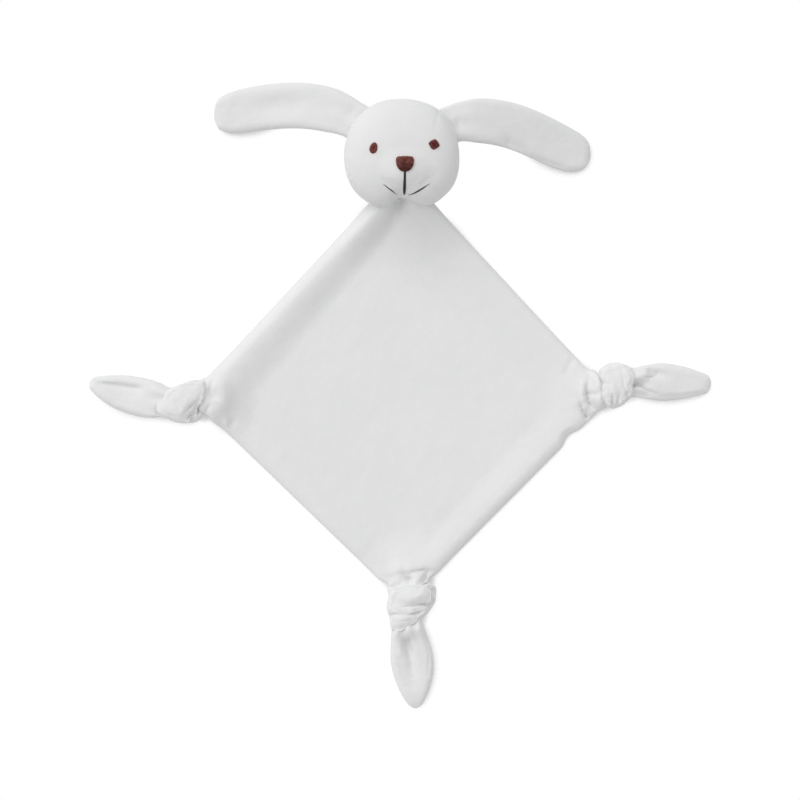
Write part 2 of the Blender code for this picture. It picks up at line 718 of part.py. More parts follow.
ear_sides = (
    ("left", LEFT_EAR_ANGLE, LEFT_EAR_HEADING_SHARES),
    ("right", RIGHT_EAR_ANGLE, RIGHT_EAR_HEADING_SHARES),
)
for side, angle, headings in ear_sides:
    reach = outline_reach(math.radians(angle))
    outward = heading_vector(angle)
    root = HEAD_CENTRE + Vector((
        HEAD_HALF_WIDTH * reach * outward.x,
        HEAD_HALF_HEIGHT * reach * outward.y - HEAD_CHEEK_DROP * (1 - (reach * outward.y) ** 2),
        0,
    ))
    hinge = root + outward * EAR_STANDOFF
    head_cuts.append(
        hinge_relief(
            side + "_ear_seat",
            hinge,
            outward,
            EAR_BARREL_RADIUS + BARREL_GAP,
            EAR_FOLD_LOWEST - EAR_DROOP_ALLOWANCE,
            EAR_FOLD_HIGHEST,
            EAR_HALF_WIDTH + BARREL_GAP,
        )
    )
    ear = place_pivot(side + "_ear_body", hinge, head)
    path = walk(hinge, headings, EAR_LENGTH)
    make_ear_layer(side + "_ear_front", path, 1, ear)
    make_ear_layer(side + "_ear_back", path, -1, ear)

make_cup("head_face_panel", 1)
make_cup("head_back_panel", -1)

bm = bmesh.new()
bmesh.ops.create_uvsphere(bm, u_segments=STUFFING_SEGMENTS, v_segments=STUFFING_RINGS, radius=1)
for vert in bm.verts:
    vert.co = head_surface(vert.co.normalized(), HEAD_SHELL + HEAD_STUFFING_GAP)
stuffing = link_mesh(bm, "head_stuffing", parts)
for tool in head_cuts:
    cut(stuffing, tool)
set_finish(stuffing, FIBRE, 1)
hang(stuffing, head)


# Embroidery
def make_pad(name, centre, half_width, half_height, lean, raise_height, reach, segments, rings, colour):
    """A satin-stitched pad: a flattened sphere laid on the face, with reach(angle) as its outline."""
    bm = bmesh.new()
    bmesh.ops.create_uvsphere(bm, u_segments=segments, v_segments=rings, radius=1)
    turn = Matrix.Rotation(math.radians(lean), 3, "Z")
    for vert in bm.verts:
        unit = vert.co.normalized()
        grow = reach(math.atan2(unit.y, unit.x))
        spot = turn @ Vector((unit.x * grow * half_width, unit.y * grow * half_height, 0)) + centre
        lift = raise_height / 2 * (1 + signed_power(unit.z, 1 / 2))
        spot.z = face_height(spot.x, spot.y) + CLOTH_GAP + lift
        vert.co = spot
    pad = link_mesh(bm, name, parts)
    set_finish(pad, colour, 0.45)
    hang(pad, head)


def nose_reach(angle):
    from_below = math.degrees(abs(math.remainder(angle + math.pi / 2, 2 * math.pi)))
    return table_value(NOSE_OUTLINE_SHARES, from_below)


def round_reach(angle):
    return 1


def diamond_reach(angle):
    across, ahead = abs(math.cos(angle)), abs(math.sin(angle))
    return (across ** RIGHT_EYE_POWER + ahead ** RIGHT_EYE_POWER) ** (-1 / RIGHT_EYE_POWER)


make_pad(
    "left_eye",
    HEAD_CENTRE + Vector((-LEFT_EYE_OFFSET, LEFT_EYE_HEIGHT, 0)),
    LEFT_EYE_HALF_WIDTH,
    LEFT_EYE_HALF_HEIGHT,
    LEFT_EYE_LEAN,
    EYE_RAISE,
    round_reach,
    EYE_SEGMENTS,
    EYE_RINGS,
    EYE_BROWN,
)
make_pad(
    "right_eye",
    HEAD_CENTRE + Vector((RIGHT_EYE_OFFSET, RIGHT_EYE_HEIGHT, 0)),
    RIGHT_EYE_HALF_WIDTH,
    RIGHT_EYE_HALF_HEIGHT,
    RIGHT_EYE_LEAN,
    EYE_RAISE,
    diamond_reach,
    EYE_SEGMENTS,
    EYE_RINGS,
    EYE_BROWN,
)
nose_centre = HEAD_CENTRE + Vector((NOSE_OFFSET, -NOSE_DROP, 0))
make_pad(
    "nose",
    nose_centre,
    NOSE_HALF_WIDTH,
    NOSE_HALF_WIDTH,
    0,
    NOSE_RAISE,
    nose_reach,
    NOSE_SEGMENTS,
    NOSE_RINGS,
    NOSE_BROWN,
)


def make_thread(name, route, radius):
    """A stitched line that lies on the face along a route of plan points."""
    curve = bpy.data.curves.new(name, "CURVE")
    curve.dimensions = "3D"
    curve.bevel_depth = radius
    curve.bevel_resolution = 1
    curve.use_fill_caps = True
    spline = curve.splines.new("POLY")
    spline.points.add(len(route) - 1)
    for point, (x, y) in zip(spline.points, route):
        point.co = (x, y, face_height(x, y) + CLOTH_GAP + radius, 1)
    thread = bpy.data.objects.new(name, curve)
    parts.objects.link(thread)
    set_finish(thread, MOUTH_BROWN, 0.5)
    hang(thread, head)


nose_bottom = nose_centre.y - NOSE_HALF_WIDTH * NOSE_OUTLINE_SHARES[0][1]
lip = nose_bottom - CLOTH_GAP - PHILTRUM_LENGTH
make_thread(
    "philtrum",
    [
        (nose_centre.x, nose_bottom - CLOTH_GAP - PHILTRUM_LENGTH * step / PHILTRUM_STEPS)
        for step in range(PHILTRUM_STEPS + 1)
    ],
    PHILTRUM_RADIUS,
)
smile_route = []
for step in range(SMILE_STEPS + 1):
    share = 2 * step / SMILE_STEPS - 1
    smile_route.append((
        nose_centre.x + share * SMILE_HALF_WIDTH,
        lip - CLOTH_GAP - SMILE_RADIUS + SMILE_RISE * share ** 2,
    ))
make_thread("smile", smile_route, SMILE_RADIUS)


# Knots and tails
def make_knot(corner, body):
    bm = bmesh.new()
    bmesh.ops.create_uvsphere(bm, u_segments=KNOT_SEGMENTS, v_segments=KNOT_RINGS, radius=1 / 2)
    core = Vector((KNOT_LENGTH, corner.knot_width * KNOT_CORE_SHARE, KNOT_HEIGHT * KNOT_CORE_SHARE))
    bmesh.ops.scale(bm, vec=core, verts=bm.verts)
    knot = link_mesh(bm, corner.name + "_knot", parts)
    knot.location = corner.knot_centre
    knot.rotation_euler = (0, 0, math.radians(corner.knot_angle))

    wrap_mesh = bmesh.new()
    ring = bmesh.ops.create_circle(wrap_mesh, segments=WRAP_SIDES, radius=KNOT_WRAP_RADIUS)
    spine = corner.knot_width / 2 - KNOT_WRAP_RADIUS
    bmesh.ops.translate(wrap_mesh, verts=ring["verts"], vec=(0, spine, 0))
    bmesh.ops.spin(
        wrap_mesh,
        geom=wrap_mesh.verts[:] + wrap_mesh.edges[:],
        cent=(0, 0, 0),
        axis=(1, 0, 0),
        angle=2 * math.pi,
        steps=WRAP_SEGMENTS,
        use_merge=True,
    )
    bmesh.ops.remove_doubles(wrap_mesh, verts=wrap_mesh.verts, dist=MERGE_DISTANCE)
    squeeze = Vector((1, 1, KNOT_HEIGHT / corner.knot_width))
    bmesh.ops.scale(wrap_mesh, vec=squeeze, verts=wrap_mesh.verts)
    wrap = link_mesh(wrap_mesh, corner.name + "_knot_wrap", cutters)
    wrap.location = corner.knot_centre
    wrap.rotation_euler = (0, 0, math.radians(corner.knot_angle + corner.wrap_turn))
    cut(knot, wrap, "UNION")
    cut(
        knot,
        barrel(
            corner.name + "_knot_barrel",
            corner.hinge,
            corner.outward,
            KNOT_BARREL_RADIUS,
            KNOT_BARREL_HALF_LENGTH,
        ),
        "UNION",
    )
    seat = hinge_relief(
        corner.name + "_tail_seat",
        corner.tail_hinge,
        corner.tail_outward,
        TAIL_BARREL_RADIUS + BARREL_GAP,
        TAIL_FOLD_LOWEST - TAIL_SPREAD_ALLOWANCE,
        TAIL_FOLD_HIGHEST + TAIL_SPREAD_ALLOWANCE,
        corner.tail_half_width + BARREL_GAP,
    )
    cut(knot, seat)
    set_finish(knot, VELOUR, 0.95)
    hang(knot, body)


def make_tail(corner, body):
    shape = {
        "barrel_radius": TAIL_BARREL_RADIUS,
        "half_thickness": TAIL_HALF_THICKNESS,
        "half_width": corner.tail_half_width,
        "rest_height": TAIL_REST_HEIGHT,
        "edge_share": TAIL_EDGE_SHARE,
        "widths": corner.tail_widths,
        "heights": TAIL_HEIGHT_SHARES,
        "swell": TAIL_SWELL_SHARES,
    }
    path = walk(corner.tail_hinge, corner.tail_headings, corner.tail_length)

    def place(u, v, outer):
        spot, half_thickness, share = leaf_point(path, u, v, TAIL_ROWS, shape)
        if not outer:
            return spot - UP * half_thickness
        return spot + UP * (half_thickness - valley(share, v, TAIL_VALLEY_DEPTH))

    tail = slab(corner.name + "_tail", TAIL_ROWS, TAIL_COLUMNS, place)
    set_finish(tail, VELOUR, 0.95)
    hang(tail, body)


for corner in CORNERS:
    knot_body = place_pivot(corner.name + "_knot_body", corner.hinge, blanket)
    make_knot(corner, knot_body)
    tail_body = place_pivot(corner.name + "_tail_body", corner.tail_hinge, knot_body)
    make_tail(corner, tail_body)

bpy.context.view_layer.update()
for empty in [obj for obj in parts.objects if obj.type == "EMPTY"]:
    place = empty.matrix_world.translation
    print(empty.name, "turns at", [round(number, 5) for number in place])
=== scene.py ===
import math

import bmesh
import bpy
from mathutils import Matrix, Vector, noise
from mathutils.bvhtree import BVHTree


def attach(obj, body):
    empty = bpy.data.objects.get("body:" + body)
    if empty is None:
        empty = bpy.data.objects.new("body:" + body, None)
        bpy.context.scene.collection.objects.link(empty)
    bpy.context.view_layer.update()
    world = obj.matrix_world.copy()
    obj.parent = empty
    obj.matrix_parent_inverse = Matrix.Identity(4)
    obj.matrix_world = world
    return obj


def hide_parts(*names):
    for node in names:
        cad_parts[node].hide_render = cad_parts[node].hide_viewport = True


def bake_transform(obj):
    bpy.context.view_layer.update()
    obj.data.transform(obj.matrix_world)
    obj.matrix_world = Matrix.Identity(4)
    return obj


# Comfort blanket lovey, lying on its back: white velour, embroidered face, three knotted corners
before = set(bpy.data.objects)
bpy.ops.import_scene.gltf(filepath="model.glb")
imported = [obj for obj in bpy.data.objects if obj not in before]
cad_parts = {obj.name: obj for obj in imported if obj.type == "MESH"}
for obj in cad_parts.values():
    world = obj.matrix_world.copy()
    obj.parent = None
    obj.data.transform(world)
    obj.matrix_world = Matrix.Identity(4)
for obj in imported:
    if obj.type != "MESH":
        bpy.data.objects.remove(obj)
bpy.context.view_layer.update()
print("frame loaded with", len(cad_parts), "CAD nodes")

up = Vector((0, 0, 1))
millimetre = 0.001
foldReach = 5   # widths past which a fold isn't felt


def smoothTable(rows, share):
    # smooth value at share of rows of (share, value)
    if share <= rows[0][0]:
        return rows[0][1]
    if share >= rows[-1][0]:
        return rows[-1][1]
    i = max(k for k, row in enumerate(rows[:-1]) if row[0] <= share)

    def slope(k):
        before, after = rows[max(k - 1, 0)], rows[min(k + 1, len(rows) - 1)]
        return (after[1] - before[1]) / (after[0] - before[0])

    (x0, y0), (x1, y1) = rows[i], rows[i + 1]
    span = x1 - x0
    t = (share - x0) / span
    bend = t * (1 - t) ** 2 * slope(i) - t * t * (1 - t) * slope(i + 1)
    return y0 + (y1 - y0) * t * t * (3 - 2 * t) + bend * span


def ease(distance, reach):
    # 1 at no distance, easing to 0 at reach
    t = min(max(1 - distance / reach, 0), 1)
    return t * t * (3 - 2 * t)


def bell(distance, width):
    return math.exp(-((distance / width) ** 2))


def roundEdge(share, power=2.4):
    # 0 at the seam, rising as a rounded edge to 1 at a share of 1
    t = min(max(share, 0), 1)
    return (1 - (1 - t) ** power) ** (1 / power)


def heading(degrees):
    angle = math.radians(degrees)
    return Vector((math.cos(angle), math.sin(angle), 0))


def finerAtEdges(t, share):
    # spreads cells from -1 to 1 so that more of them lie at the edges
    return (1 - share) * t + share * math.sin(math.pi / 2 * t)


def crumple(spot, size, seed):
    # soft unevenness from -1 to 1 over lumps of this size
    return noise.noise(spot / size + Vector((seed, 3.7 * seed, 1.3 * seed)))


def lumpy(spot, lumps, seed):
    # lumps of each (height, size) added up
    return sum(height * crumple(spot, size, seed + i) for i, (height, size) in enumerate(lumps))


def foldHeight(spot, folds):
    # rolls and creases near a plan point: kind, width, then points of x, y and height, all in millimetres
    x, y = spot.x / millimetre, spot.y / millimetre
    total = 0
    for kind, width, *points in folds:
        nearest, height = math.inf, 0
        for (x0, y0, h0), (x1, y1, h1) in zip(points, points[1:]):
            dx, dy = x1 - x0, y1 - y0
            t = min(max(((x - x0) * dx + (y - y0) * dy) / (dx * dx + dy * dy), 0), 1)
            away = math.hypot(x - x0 - t * dx, y - y0 - t * dy)
            if away < nearest:
                nearest, height = away, h0 + (h1 - h0) * t
        if nearest < foldReach * width:
            total += height * (math.exp(-nearest / width) if kind == "crease" else bell(nearest, width))
    return total * millimetre


# Shader sums: a Wire is an output socket, and + and * on it add Math nodes
class Wire:
    def __init__(self, tree, socket=None):
        self.tree = tree
        self.socket = socket

    def node(self, kind, settings, inputs, output=0):
        made = self.tree.nodes.new(kind)
        for name, value in settings.items():
            if name == "stops":
                while len(made.color_ramp.elements) < len(value):
                    made.color_ramp.elements.new(0.5)
                for element, (place, colour) in zip(made.color_ramp.elements, value):
                    element.position = place
                    element.color = colour
            else:
                setattr(made, name, value)
        for name, value in inputs.items():
            if isinstance(value, Wire):
                self.tree.links.new(value.socket, made.inputs[name])
            else:
                made.inputs[name].default_value = value
        return Wire(self.tree, made.outputs[output])

    def sum(self, operation, first, second):
        return self.node("ShaderNodeMath", {"operation": operation}, {0: first, 1: second})

    def __add__(self, other):
        return self.sum("ADD", self, other)

    def __mul__(self, other):
        return self.sum("MULTIPLY", self, other)

    __radd__ = __add__
    __rmul__ = __mul__


def newMaterial(name, fixed):
    # a Principled material with its fixed values on the shader's own sockets
    material = bpy.data.materials.new(name)
    material.use_nodes = True
    shader = material.node_tree.nodes["Principled BSDF"]
    for socket, value in fixed.items():
        shader.inputs[socket].default_value = value
    return material, shader, Wire(material.node_tree)


def grain(wire, place, size, detail, rough=0.5, distortion=0.0):
    settings = {"Vector": place, "Scale": 1 / size, "Detail": detail, "Roughness": rough, "Distortion": distortion}
    return wire.node("ShaderNodeTexNoise", {}, settings)


def finishMaterial(material, shader, wire, look, shade, colours, relief):
    # colour from a ramp over the shade, and a bump from the relief
    stops = list(zip(look["stops"], colours))
    strength, depth = look["bump"]
    colour = wire.node("ShaderNodeValToRGB", {"stops": stops}, {"Fac": shade}, "Color")
    bump = wire.node("ShaderNodeBump", {}, {"Strength": strength, "Distance": depth, "Height": relief}, "Normal")
    material.node_tree.links.new(colour.socket, shader.inputs["Base Color"])
    material.node_tree.links.new(bump.socket, shader.inputs["Normal"])
    return material


velour = {
    "fixed": {"Roughness": 0.92, "Sheen Weight": 0.32, "Sheen Roughness": 0.35, "Specular IOR Level": 0.18},
    "deep": (0.752, 0.760, 0.756),
    "pale": (0.792, 0.798, 0.792),
    "stops": (0.34, 0.64),
    "pileSize": 0.00075,      # one tuft of the pile
    "napSize": 0.0065,        # patches where the pile leans another way
    "driftSize": 0.045,
    "bump": (0.55, 0.00016),  # strength and depth of the pile
}


def velourMaterial(name, paintedLightScale):
    material, shader, wire = newMaterial(name, velour["fixed"])
    place = wire.node("ShaderNodeTexCoord", {}, {}, "Object")
    pile = grain(wire, place, velour["pileSize"], 2, 0.6)
    nap = grain(wire, place, velour["napSize"], 3, 0.55, 0.6)
    drift = grain(wire, place, velour["driftSize"], 2)
    shade = 0.36 * pile + 0.26 * nap + 0.38 * drift
    # the colour is scaled for each copy of the same velour, as painted light or shade
    colours = [tuple(c * paintedLightScale for c in velour[key]) + (1,) for key in ("deep", "pale")]
    return finishMaterial(material, shader, wire, velour, shade, colours, pile + 0.35 * nap)


thread = {
    "fixed": {"Roughness": 0.5, "Sheen Weight": 0.04, "Sheen Roughness": 0.4, "Specular IOR Level": 0.24},
    # dark and light colour
    "nose": ((0.052, 0.006, 0.004, 1), (0.262, 0.074, 0.056, 1)),
    "eye": ((0.068, 0.003, 0.003, 1), (0.225, 0.064, 0.053, 1)),
    "mouth": ((0.012, 0.007, 0.006, 1), (0.036, 0.020, 0.018, 1)),
    "stops": (0.34, 0.68),
    "fibreSize": 0.00022,
    "fibreStretch": 0.16,     # how much slower the fibres change along a stitch
    "patchSize": 0.0024,
    "bump": (0.5, 0.00006),
}


def threadMaterial(part):
    # satin thread: fine fibres along each stitch, which the piece's own geometry gives
    material, shader, wire = newMaterial(part + "_thread", thread["fixed"])
    spot = wire.node("ShaderNodeTexCoord", {}, {}, "Object")
    scale = (1, thread["fibreStretch"], 1)
    stretched = wire.node("ShaderNodeMapping", {}, {"Vector": spot, "Scale": scale}, "Vector")
    fibre = grain(wire, stretched, thread["fibreSize"], 2, 0.6)
    patch = grain(wire, spot, thread["patchSize"], 2)
    # each embroidered patch holds painted light and shade for its thread, which lightens or darkens the thread's
    # colour
    tint = wire.node("ShaderNodeAttribute", {"attribute_name": "tint"}, {}, "Fac")
    shade = 0.55 * fibre + 0.45 * patch + tint
    return finishMaterial(material, shader, wire, thread, shade, thread[part], fibre)


# the same velour twice: a little lighter on the blanket as painted light, and darker on the head and ears as painted
# shade
blanketVelour = velourMaterial("blanket_velour", 1.005)
headVelour = velourMaterial("head_velour", 0.975)
noseThread, eyeThread, mouthThread = (threadMaterial(part) for part in ("nose", "eye", "mouth"))
print("finishes made")


def newPiece(bm, name, material):
    mesh = bpy.data.meshes.new(name)
    bmesh.ops.recalc_face_normals(bm, faces=bm.faces)
    bm.to_mesh(mesh)
    bm.free()
    piece = bpy.data.objects.new(name, mesh)
    bpy.context.scene.collection.objects.link(piece)
    piece.data.materials.append(material)
    piece.data.shade_smooth()
    return piece


def applyModifiers(piece):
    graph = bpy.context.evaluated_depsgraph_get()
    finished = bpy.data.meshes.new_from_object(piece.evaluated_get(graph))
    old = piece.data
    piece.modifiers.clear()
    piece.data = finished
    bpy.data.meshes.remove(old)
    piece.data.name = piece.name
    piece.data.shade_smooth()


def newVerts(made):
    return [item for item in made["geom"] if isinstance(item, bmesh.types.BMVert)]


def closeHoles(bm):
    bmesh.ops.holes_fill(bm, edges=[edge for edge in bm.edges if edge.is_boundary], sides=0)


def doubleLayer(rows, columns, place):
    # two layers of cloth sewn together at their edges: place(u, v, side) puts each point
    bm = bmesh.new()
    bmesh.ops.create_grid(bm, x_segments=rows, y_segments=columns, size=1)
    front = set(newVerts(bmesh.ops.extrude_face_region(bm, geom=bm.faces[:], use_keep_orig=True)))
    for vert in bm.verts:
        vert.co = place(vert.co.x, vert.co.y, 1 if vert in front else -1)
    bmesh.ops.remove_doubles(bm, verts=bm.verts, dist=0.000002)
    return bm


def drawTube(bm, sides, stations, place):
    # a closed tube: a ring extruded from station to station, where place(station, angle) puts each point
    ring = bmesh.ops.create_circle(bm, segments=sides, radius=1)["verts"]
    edges = bm.edges[:]
    for i, station in enumerate(stations):
        if i:
            made = bmesh.ops.extrude_edge_only(bm, edges=edges)
            ring = newVerts(made)
            drawn = [item for item in made["geom"] if isinstance(item, bmesh.types.BMEdge)]
            edges = [edge for edge in drawn if all(vert in ring for vert in edge.verts)]
        for k, vert in enumerate(ring):
            vert.co = place(station, 2 * math.pi * k / sides)
    closeHoles(bm)


# Blanket: two layers between the knots, rolled and creased beside its edges
blanket = {
    "tips": {
        "left": Vector((-0.1350, 0, 0)),
        "right": Vector((0.1350, 0, 0)),
        "top": Vector((0, 0.1450, 0)),
        "bottom": Vector((0.0028, -0.1330, 0)),
    },
    "cells": 150,
    "stack": 0.0049,          # both layers, lying flat
    "edgeWidth": 0.0042,      # how far the rounded edge reaches in
    "halfSide": 0.097,        # from the middle to an edge
    "thinnest": 0.0012,       # both layers, pressed in a crease
    "floorGap": 0.0002,
    "lumps": ((0.00035, 0.030), (0.00016, 0.009)),
    "seamLumps": ((0.00012, 0.0022),),
    "cornerFlat": 0.004,      # how far round each hinge a corner stays at its full rise
    "gatherReach": 0.019,
    "gatherSwell": 0.0034,    # how much thicker half the cloth is where it is gathered
    "pleats": (0.0003, 0.026, 0.006),  # height, and how far they reach and where they start
    "bulgeReach": 0.013,
    "tuck": {"from": 0.1235, "share": 0.14, "middle": 0.0010, "narrows": 10, "reach": 0.012},
    # the top corner rises to the head like a tent
    "tentTop": Vector((0.0085, 0.1230, 0)),
    "tentFlat": 0.002,
    "tentRise": 0.0180,
    "tentReach": 0.066,
    "tentPower": 3.2,
    "rollFade": (0.14, 0.16),  # shares of its edge over which a roll begins and ends
    "neckSwell": (1.25, 0.13, 0.26),  # how much higher the left roll is at the neck, until where, and its fade
    "widens": (0.75, 0.5),    # share of a roll's inner width at its start, and how much it widens to its end
    # rolls along an edge: its ends, crest inside the edge, outer and inner width, height, start and end shares
    "rolls": (
        ("top", "left", 0.0075, 0.0108, 0.0200, 0.0053, 0.00, 0.97),
        ("top", "right", 0.0095, 0.0110, 0.0140, 0.0013, 0.12, 0.94),
        ("top", "right", 0.0032, 0.0062, 0.0052, 0.0007, 0.02, 0.96),
        ("bottom", "left", 0.0065, 0.0080, 0.0130, 0.0012, 0.10, 0.94),
        ("bottom", "right", 0.0066, 0.0080, 0.0170, 0.0022, 0.08, 0.95),
    ),
    "folds": (
        # left corner: a ridge round a shallow pocket, and a small tuck below it
        ("roll", 4.8, (-119.5, 9.5, 0.8), (-113.6, 6.5, 1.9), (-111.4, 0.5, 2.2), (-112.6, -5, 1.9),
         (-118, -9.5, 1.2)),
        ("roll", 2.6, (-124.8, 9.5, 1.8), (-124.4, 3, 1.4)),
        ("roll", 2.4, (-121.5, 3, -1.4), (-119.5, 0.5, -1.2)),
        ("crease", 1.2, (-125.5, -10, -1.8), (-121.8, -6.4, -1.6)),
        ("roll", 1.4, (-112, -12.5, 0.6), (-110.8, -17, 1.5)),
        ("crease", 1.3, (-109, -13, -0.2), (-106.5, -16, -2), (-108, -17.5, -1.6)),
        # right corner: cross creases beside the knot, with two lobes next to it
        ("crease", 1, (119.6, 12.5, -0.8), (118.2, 5.5, -3.4), (118.6, 0, -4.2), (119.6, -4, -4.2), (122, -6.8, -3.6),
         (124, -8, -1.8)),
        ("crease", 0.9, (118.8, 1.7, -2.6), (124.5, 1.4, -1.2)),
        ("crease", 1, (113.2, -2, -1), (115.2, -7.9, -3.8), (118.6, -13.4, -5.2)),
        ("crease", 0.7, (112.6, 7.5, -0.3), (112.8, -1, -0.7)),
        ("roll", 4.2, (126.2, 11.5, 3.6), (126.2, 5, 4.2)),
        ("roll", 3.2, (125.6, -2, 3.6), (126.4, -4, 3.2)),
        ("roll", 1.2, (115.2, 8.5, 0.8), (115, 0, 1.3), (117, -8, 1.2)),
        ("roll", 2, (108.4, 22.4, -0.9), (105.2, 15, -0.5)),
        # bottom corner: a crease across with a bulge in it
        ("crease", 1.1, (-1, -112.6, -0.4), (2, -112.2, -1.8), (5.7, -112.3, -2.4), (9.5, -110.9, -2.8),
         (14.6, -111.2, -2.6), (19.1, -112.4, -1.2)),
        ("roll", 1.8, (1.2, -114.8, -2.2), (5.4, -116.6, -4.4)),
        ("roll", 4.5, (-2, -117.5, -1.2), (10, -116.5, -1.8), (16, -115, -1.2)),
        ("roll", 2.8, (9.4, -119.5, 1.8), (11, -114.8, 1.6)),
        ("crease", 1.2, (13.8, -118.8, -1.6), (16.9, -116, -1.9), (18.2, -112.8, -1.4)),
        ("crease", 1, (-7, -122, -1.8), (-2.5, -120.2, -1.8), (1, -118.6, -1)),
        ("roll", 1.3, (-9.8, -114.5, -0.7), (-8.3, -118, -1)),
        ("roll", 1.6, (-6.6, -115.3, -0.6), (-0.6, -112.4, -0.9)),
        ("roll", 5, (-2, -97, 0), (-1, -108, 0.9)),
        # below the chin
        ("roll", 4.2, (1, 137, -8.5), (-0.6, 125.5, -7.4), (-2.6, 117.5, -5), (-6, 109.5, -1.9), (-11, 102, -0.3)),
        ("roll", 3.1, (-0.8, 128, -3.6), (-2.6, 121.5, -3.2), (-5.4, 115.5, -1.3), (-8, 111, -0.3)),
        ("roll", 1.5, (1.8, 122, -0.9), (4.4, 113.7, -0.5)),
        ("roll", 9, (22, 117, 3.6), (32, 106, 1.8)),
    ),
    # cloth pulled sideways in plan: place, reach, and how far
    "pulls": (
        (107.5, -25.5, 9.0, -2.0, 1.8),
        (-117.5, -13.5, 9.0, -0.6, -1.4),
        (17.0, -113.0, 7.0, -1.2, 1.4),
        (-10.0, -121.0, 7.0, 1.8, 1.0),
    ),
}

corners = {
    "left": {
        "hinge": Vector((-0.12330, -0.00190, 0.0100)),
        "knotAngle": 184,     # the way out of the blanket through the knot, in degrees
        "mirrored": True,
        "singleBand": True,   # the knot turned over, so that one band shows on top
        "centre": 0.0135,     # from the hinge to the knot's middle
        "stretch": (0.88, 0.88, 0.84),  # of the route: outward, across, up
        "slant": 0.38,
        "core": (0.0142, 0.0130, 0.0116),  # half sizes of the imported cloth
        "coreSlant": 0.15,
        "pleats": 0.35,       # how strong the knot's pleats are
        "rise": (0.0096, 0.033),  # height of the blanket's middle at the hinge, and how far that reaches
        # seen from above, in millimetres
        "outline": (
            (-123, 1), (-123.8, 9.6), (-127.6, 10.3), (-131, 10.8), (-133.9, 10.4), (-137.1, 9.4), (-140.3, 8),
            (-143.4, 6.4), (-147.6, 4.5), (-151.5, 0), (-154.8, -4.7), (-154.9, -10.4), (-152.9, -12),
            (-149.1, -13.9), (-145.3, -15.5), (-141.5, -16.8), (-137.7, -17.4), (-133.9, -17.3), (-130.7, -16.4),
            (-127.6, -14.8), (-125.7, -12.2), (-123.4, -7.3),
        ),
        "folds": (
            ("crease", 1.1, (-137.5, -11.5, -0.6), (-132.5, -6.6, -2), (-127.5, -2.4, -0.8)),
            ("crease", 1.5, (-130.5, -15.2, -1.8), (-126.8, -11.2, -2.8), (-123.6, -8, -1.6)),
            ("roll", 3.6, (-132.8, -13.6, -3.2), (-127.5, -8.6, -3.4)),
            ("roll", 2, (-142, -4, -0.5), (-140.5, -7, -0.5)),
            ("roll", 4, (-149, -8, 1.3), (-142, -11, 1.2)),
        ),
        "band": 0.0096,       # half width of the strand in the knot
        "neck": 0.0085,       # and where it leaves the knot
        "tailHinge": Vector((-0.14824, -0.00364, 0.0100)),
    },
    "right": {
        "hinge": Vector((0.12540, 0.00290, 0.0100)),
        "knotAngle": 14,
        "mirrored": False,
        "singleBand": False,
        "centre": 0.0128,
        "stretch": (0.95, 1.02, 0.78),
        "slant": -0.50,
        "core": (0.0128, 0.0136, 0.0110),
        "coreSlant": 0.0,
        "pleats": 0.8,
        "rise": (0.0070, 0.036),
        "outline": (
            (147.2, 7.3), (148.6, 14), (146, 18.8), (142.8, 20), (139.6, 21.1), (136.4, 21.5), (132.6, 21.3),
            (130.1, 20.4), (127.6, 18.8), (125.8, 16.9), (125.7, 13.7), (125.4, 7.3), (125.5, 1), (126.3, -5.4),
            (128.2, -6.6), (130.1, -6.4), (132, -7.2), (134.5, -7.7), (137.7, -6.9), (140.2, -5.7), (142.8, -3.8),
            (145.3, -1.5), (147.6, 1.5),
        ),
        "folds": (
            ("crease", 1.1, (133.3, 2.5, -0.5), (133.6, -1.5, -2.6), (134.1, -6.4, -3.4)),
            ("crease", 1, (126, 0.5, -0.6), (127.6, -5.8, -2.6)),
            ("crease", 0.9, (138.2, 1, -0.5), (137, -5.4, -2.2)),
            ("crease", 1, (140.4, 6.5, -0.6), (142.5, 3, -1.2), (143.9, -1.5, -1.8)),
            ("crease", 0.8, (131.2, 9.5, -0.2), (131.9, -0.5, -0.8)),
            ("crease", 1.2, (138.8, 19, -0.6), (140.4, 12, -0.7), (140.7, 6.7, -0.6)),
        ),
        "band": 0.0066,
        "neck": 0.0090,
        "tailHinge": Vector((0.14966, 0.00895, 0.0100)),
    },
    "bottom": {
        "hinge": Vector((0.00611, -0.11903, 0.0100)),
        "knotAngle": -95,
        "mirrored": True,
        "singleBand": False,
        "centre": 0.0125,
        "stretch": (1.12, 1.12, 0.76),
        "slant": 0.50,
        "core": (0.0142, 0.0142, 0.0112),
        "coreSlant": 0.0,
        "pleats": 0.7,
        "rise": (0.0066, 0.036),
        "outline": (
            (5, -119.6), (12.5, -118.2), (18.2, -116.6), (20.2, -119), (22.2, -121.5), (22.6, -125.3), (22.2, -129.1),
            (20.7, -132.9), (18.4, -136.1), (15.2, -139.3), (12.4, -141.8), (10.8, -144.3), (5.7, -146.9),
            (0.6, -149), (-5.7, -148.4), (-7, -143.1), (-7.4, -139.4), (-8.3, -138), (-9.3, -135.4), (-9, -131),
            (-8.3, -127.2), (-7, -122.8), (-2, -120.6),
        ),
        "folds": (
            ("crease", 1.2, (0, -133, -0.5), (6.9, -132.2, -2.2), (12.6, -131.9, -3.8), (18.6, -133, -3.4)),
            ("crease", 1.1, (-8, -138.3, -0.9), (0.6, -137.6, -1.3), (6.9, -138, -2.2), (12, -137.3, -3),
             (16.2, -135.6, -1.6)),
            ("crease", 0.8, (3.5, -134.9, -0.3), (12, -134.6, -0.9)),
            ("roll", 7, (22.5, -121, -2.8), (22.8, -131, -2.8)),
            ("roll", 1.5, (-2, -147.5, 0.3), (5.7, -145.6, 0.7), (10.6, -142.8, 0.7)),
            ("roll", 4.6, (-7, -150, -1.6), (6, -148.6, -2), (13, -143.6, -1.8)),
            ("crease", 0.8, (-4, -142.6, -0.3), (6, -141.6, -0.6)),
        ),
        "band": 0.0076,
        "neck": 0.0095,
        "tailHinge": Vector((0.00393, -0.14393, 0.0100)),
    },
}


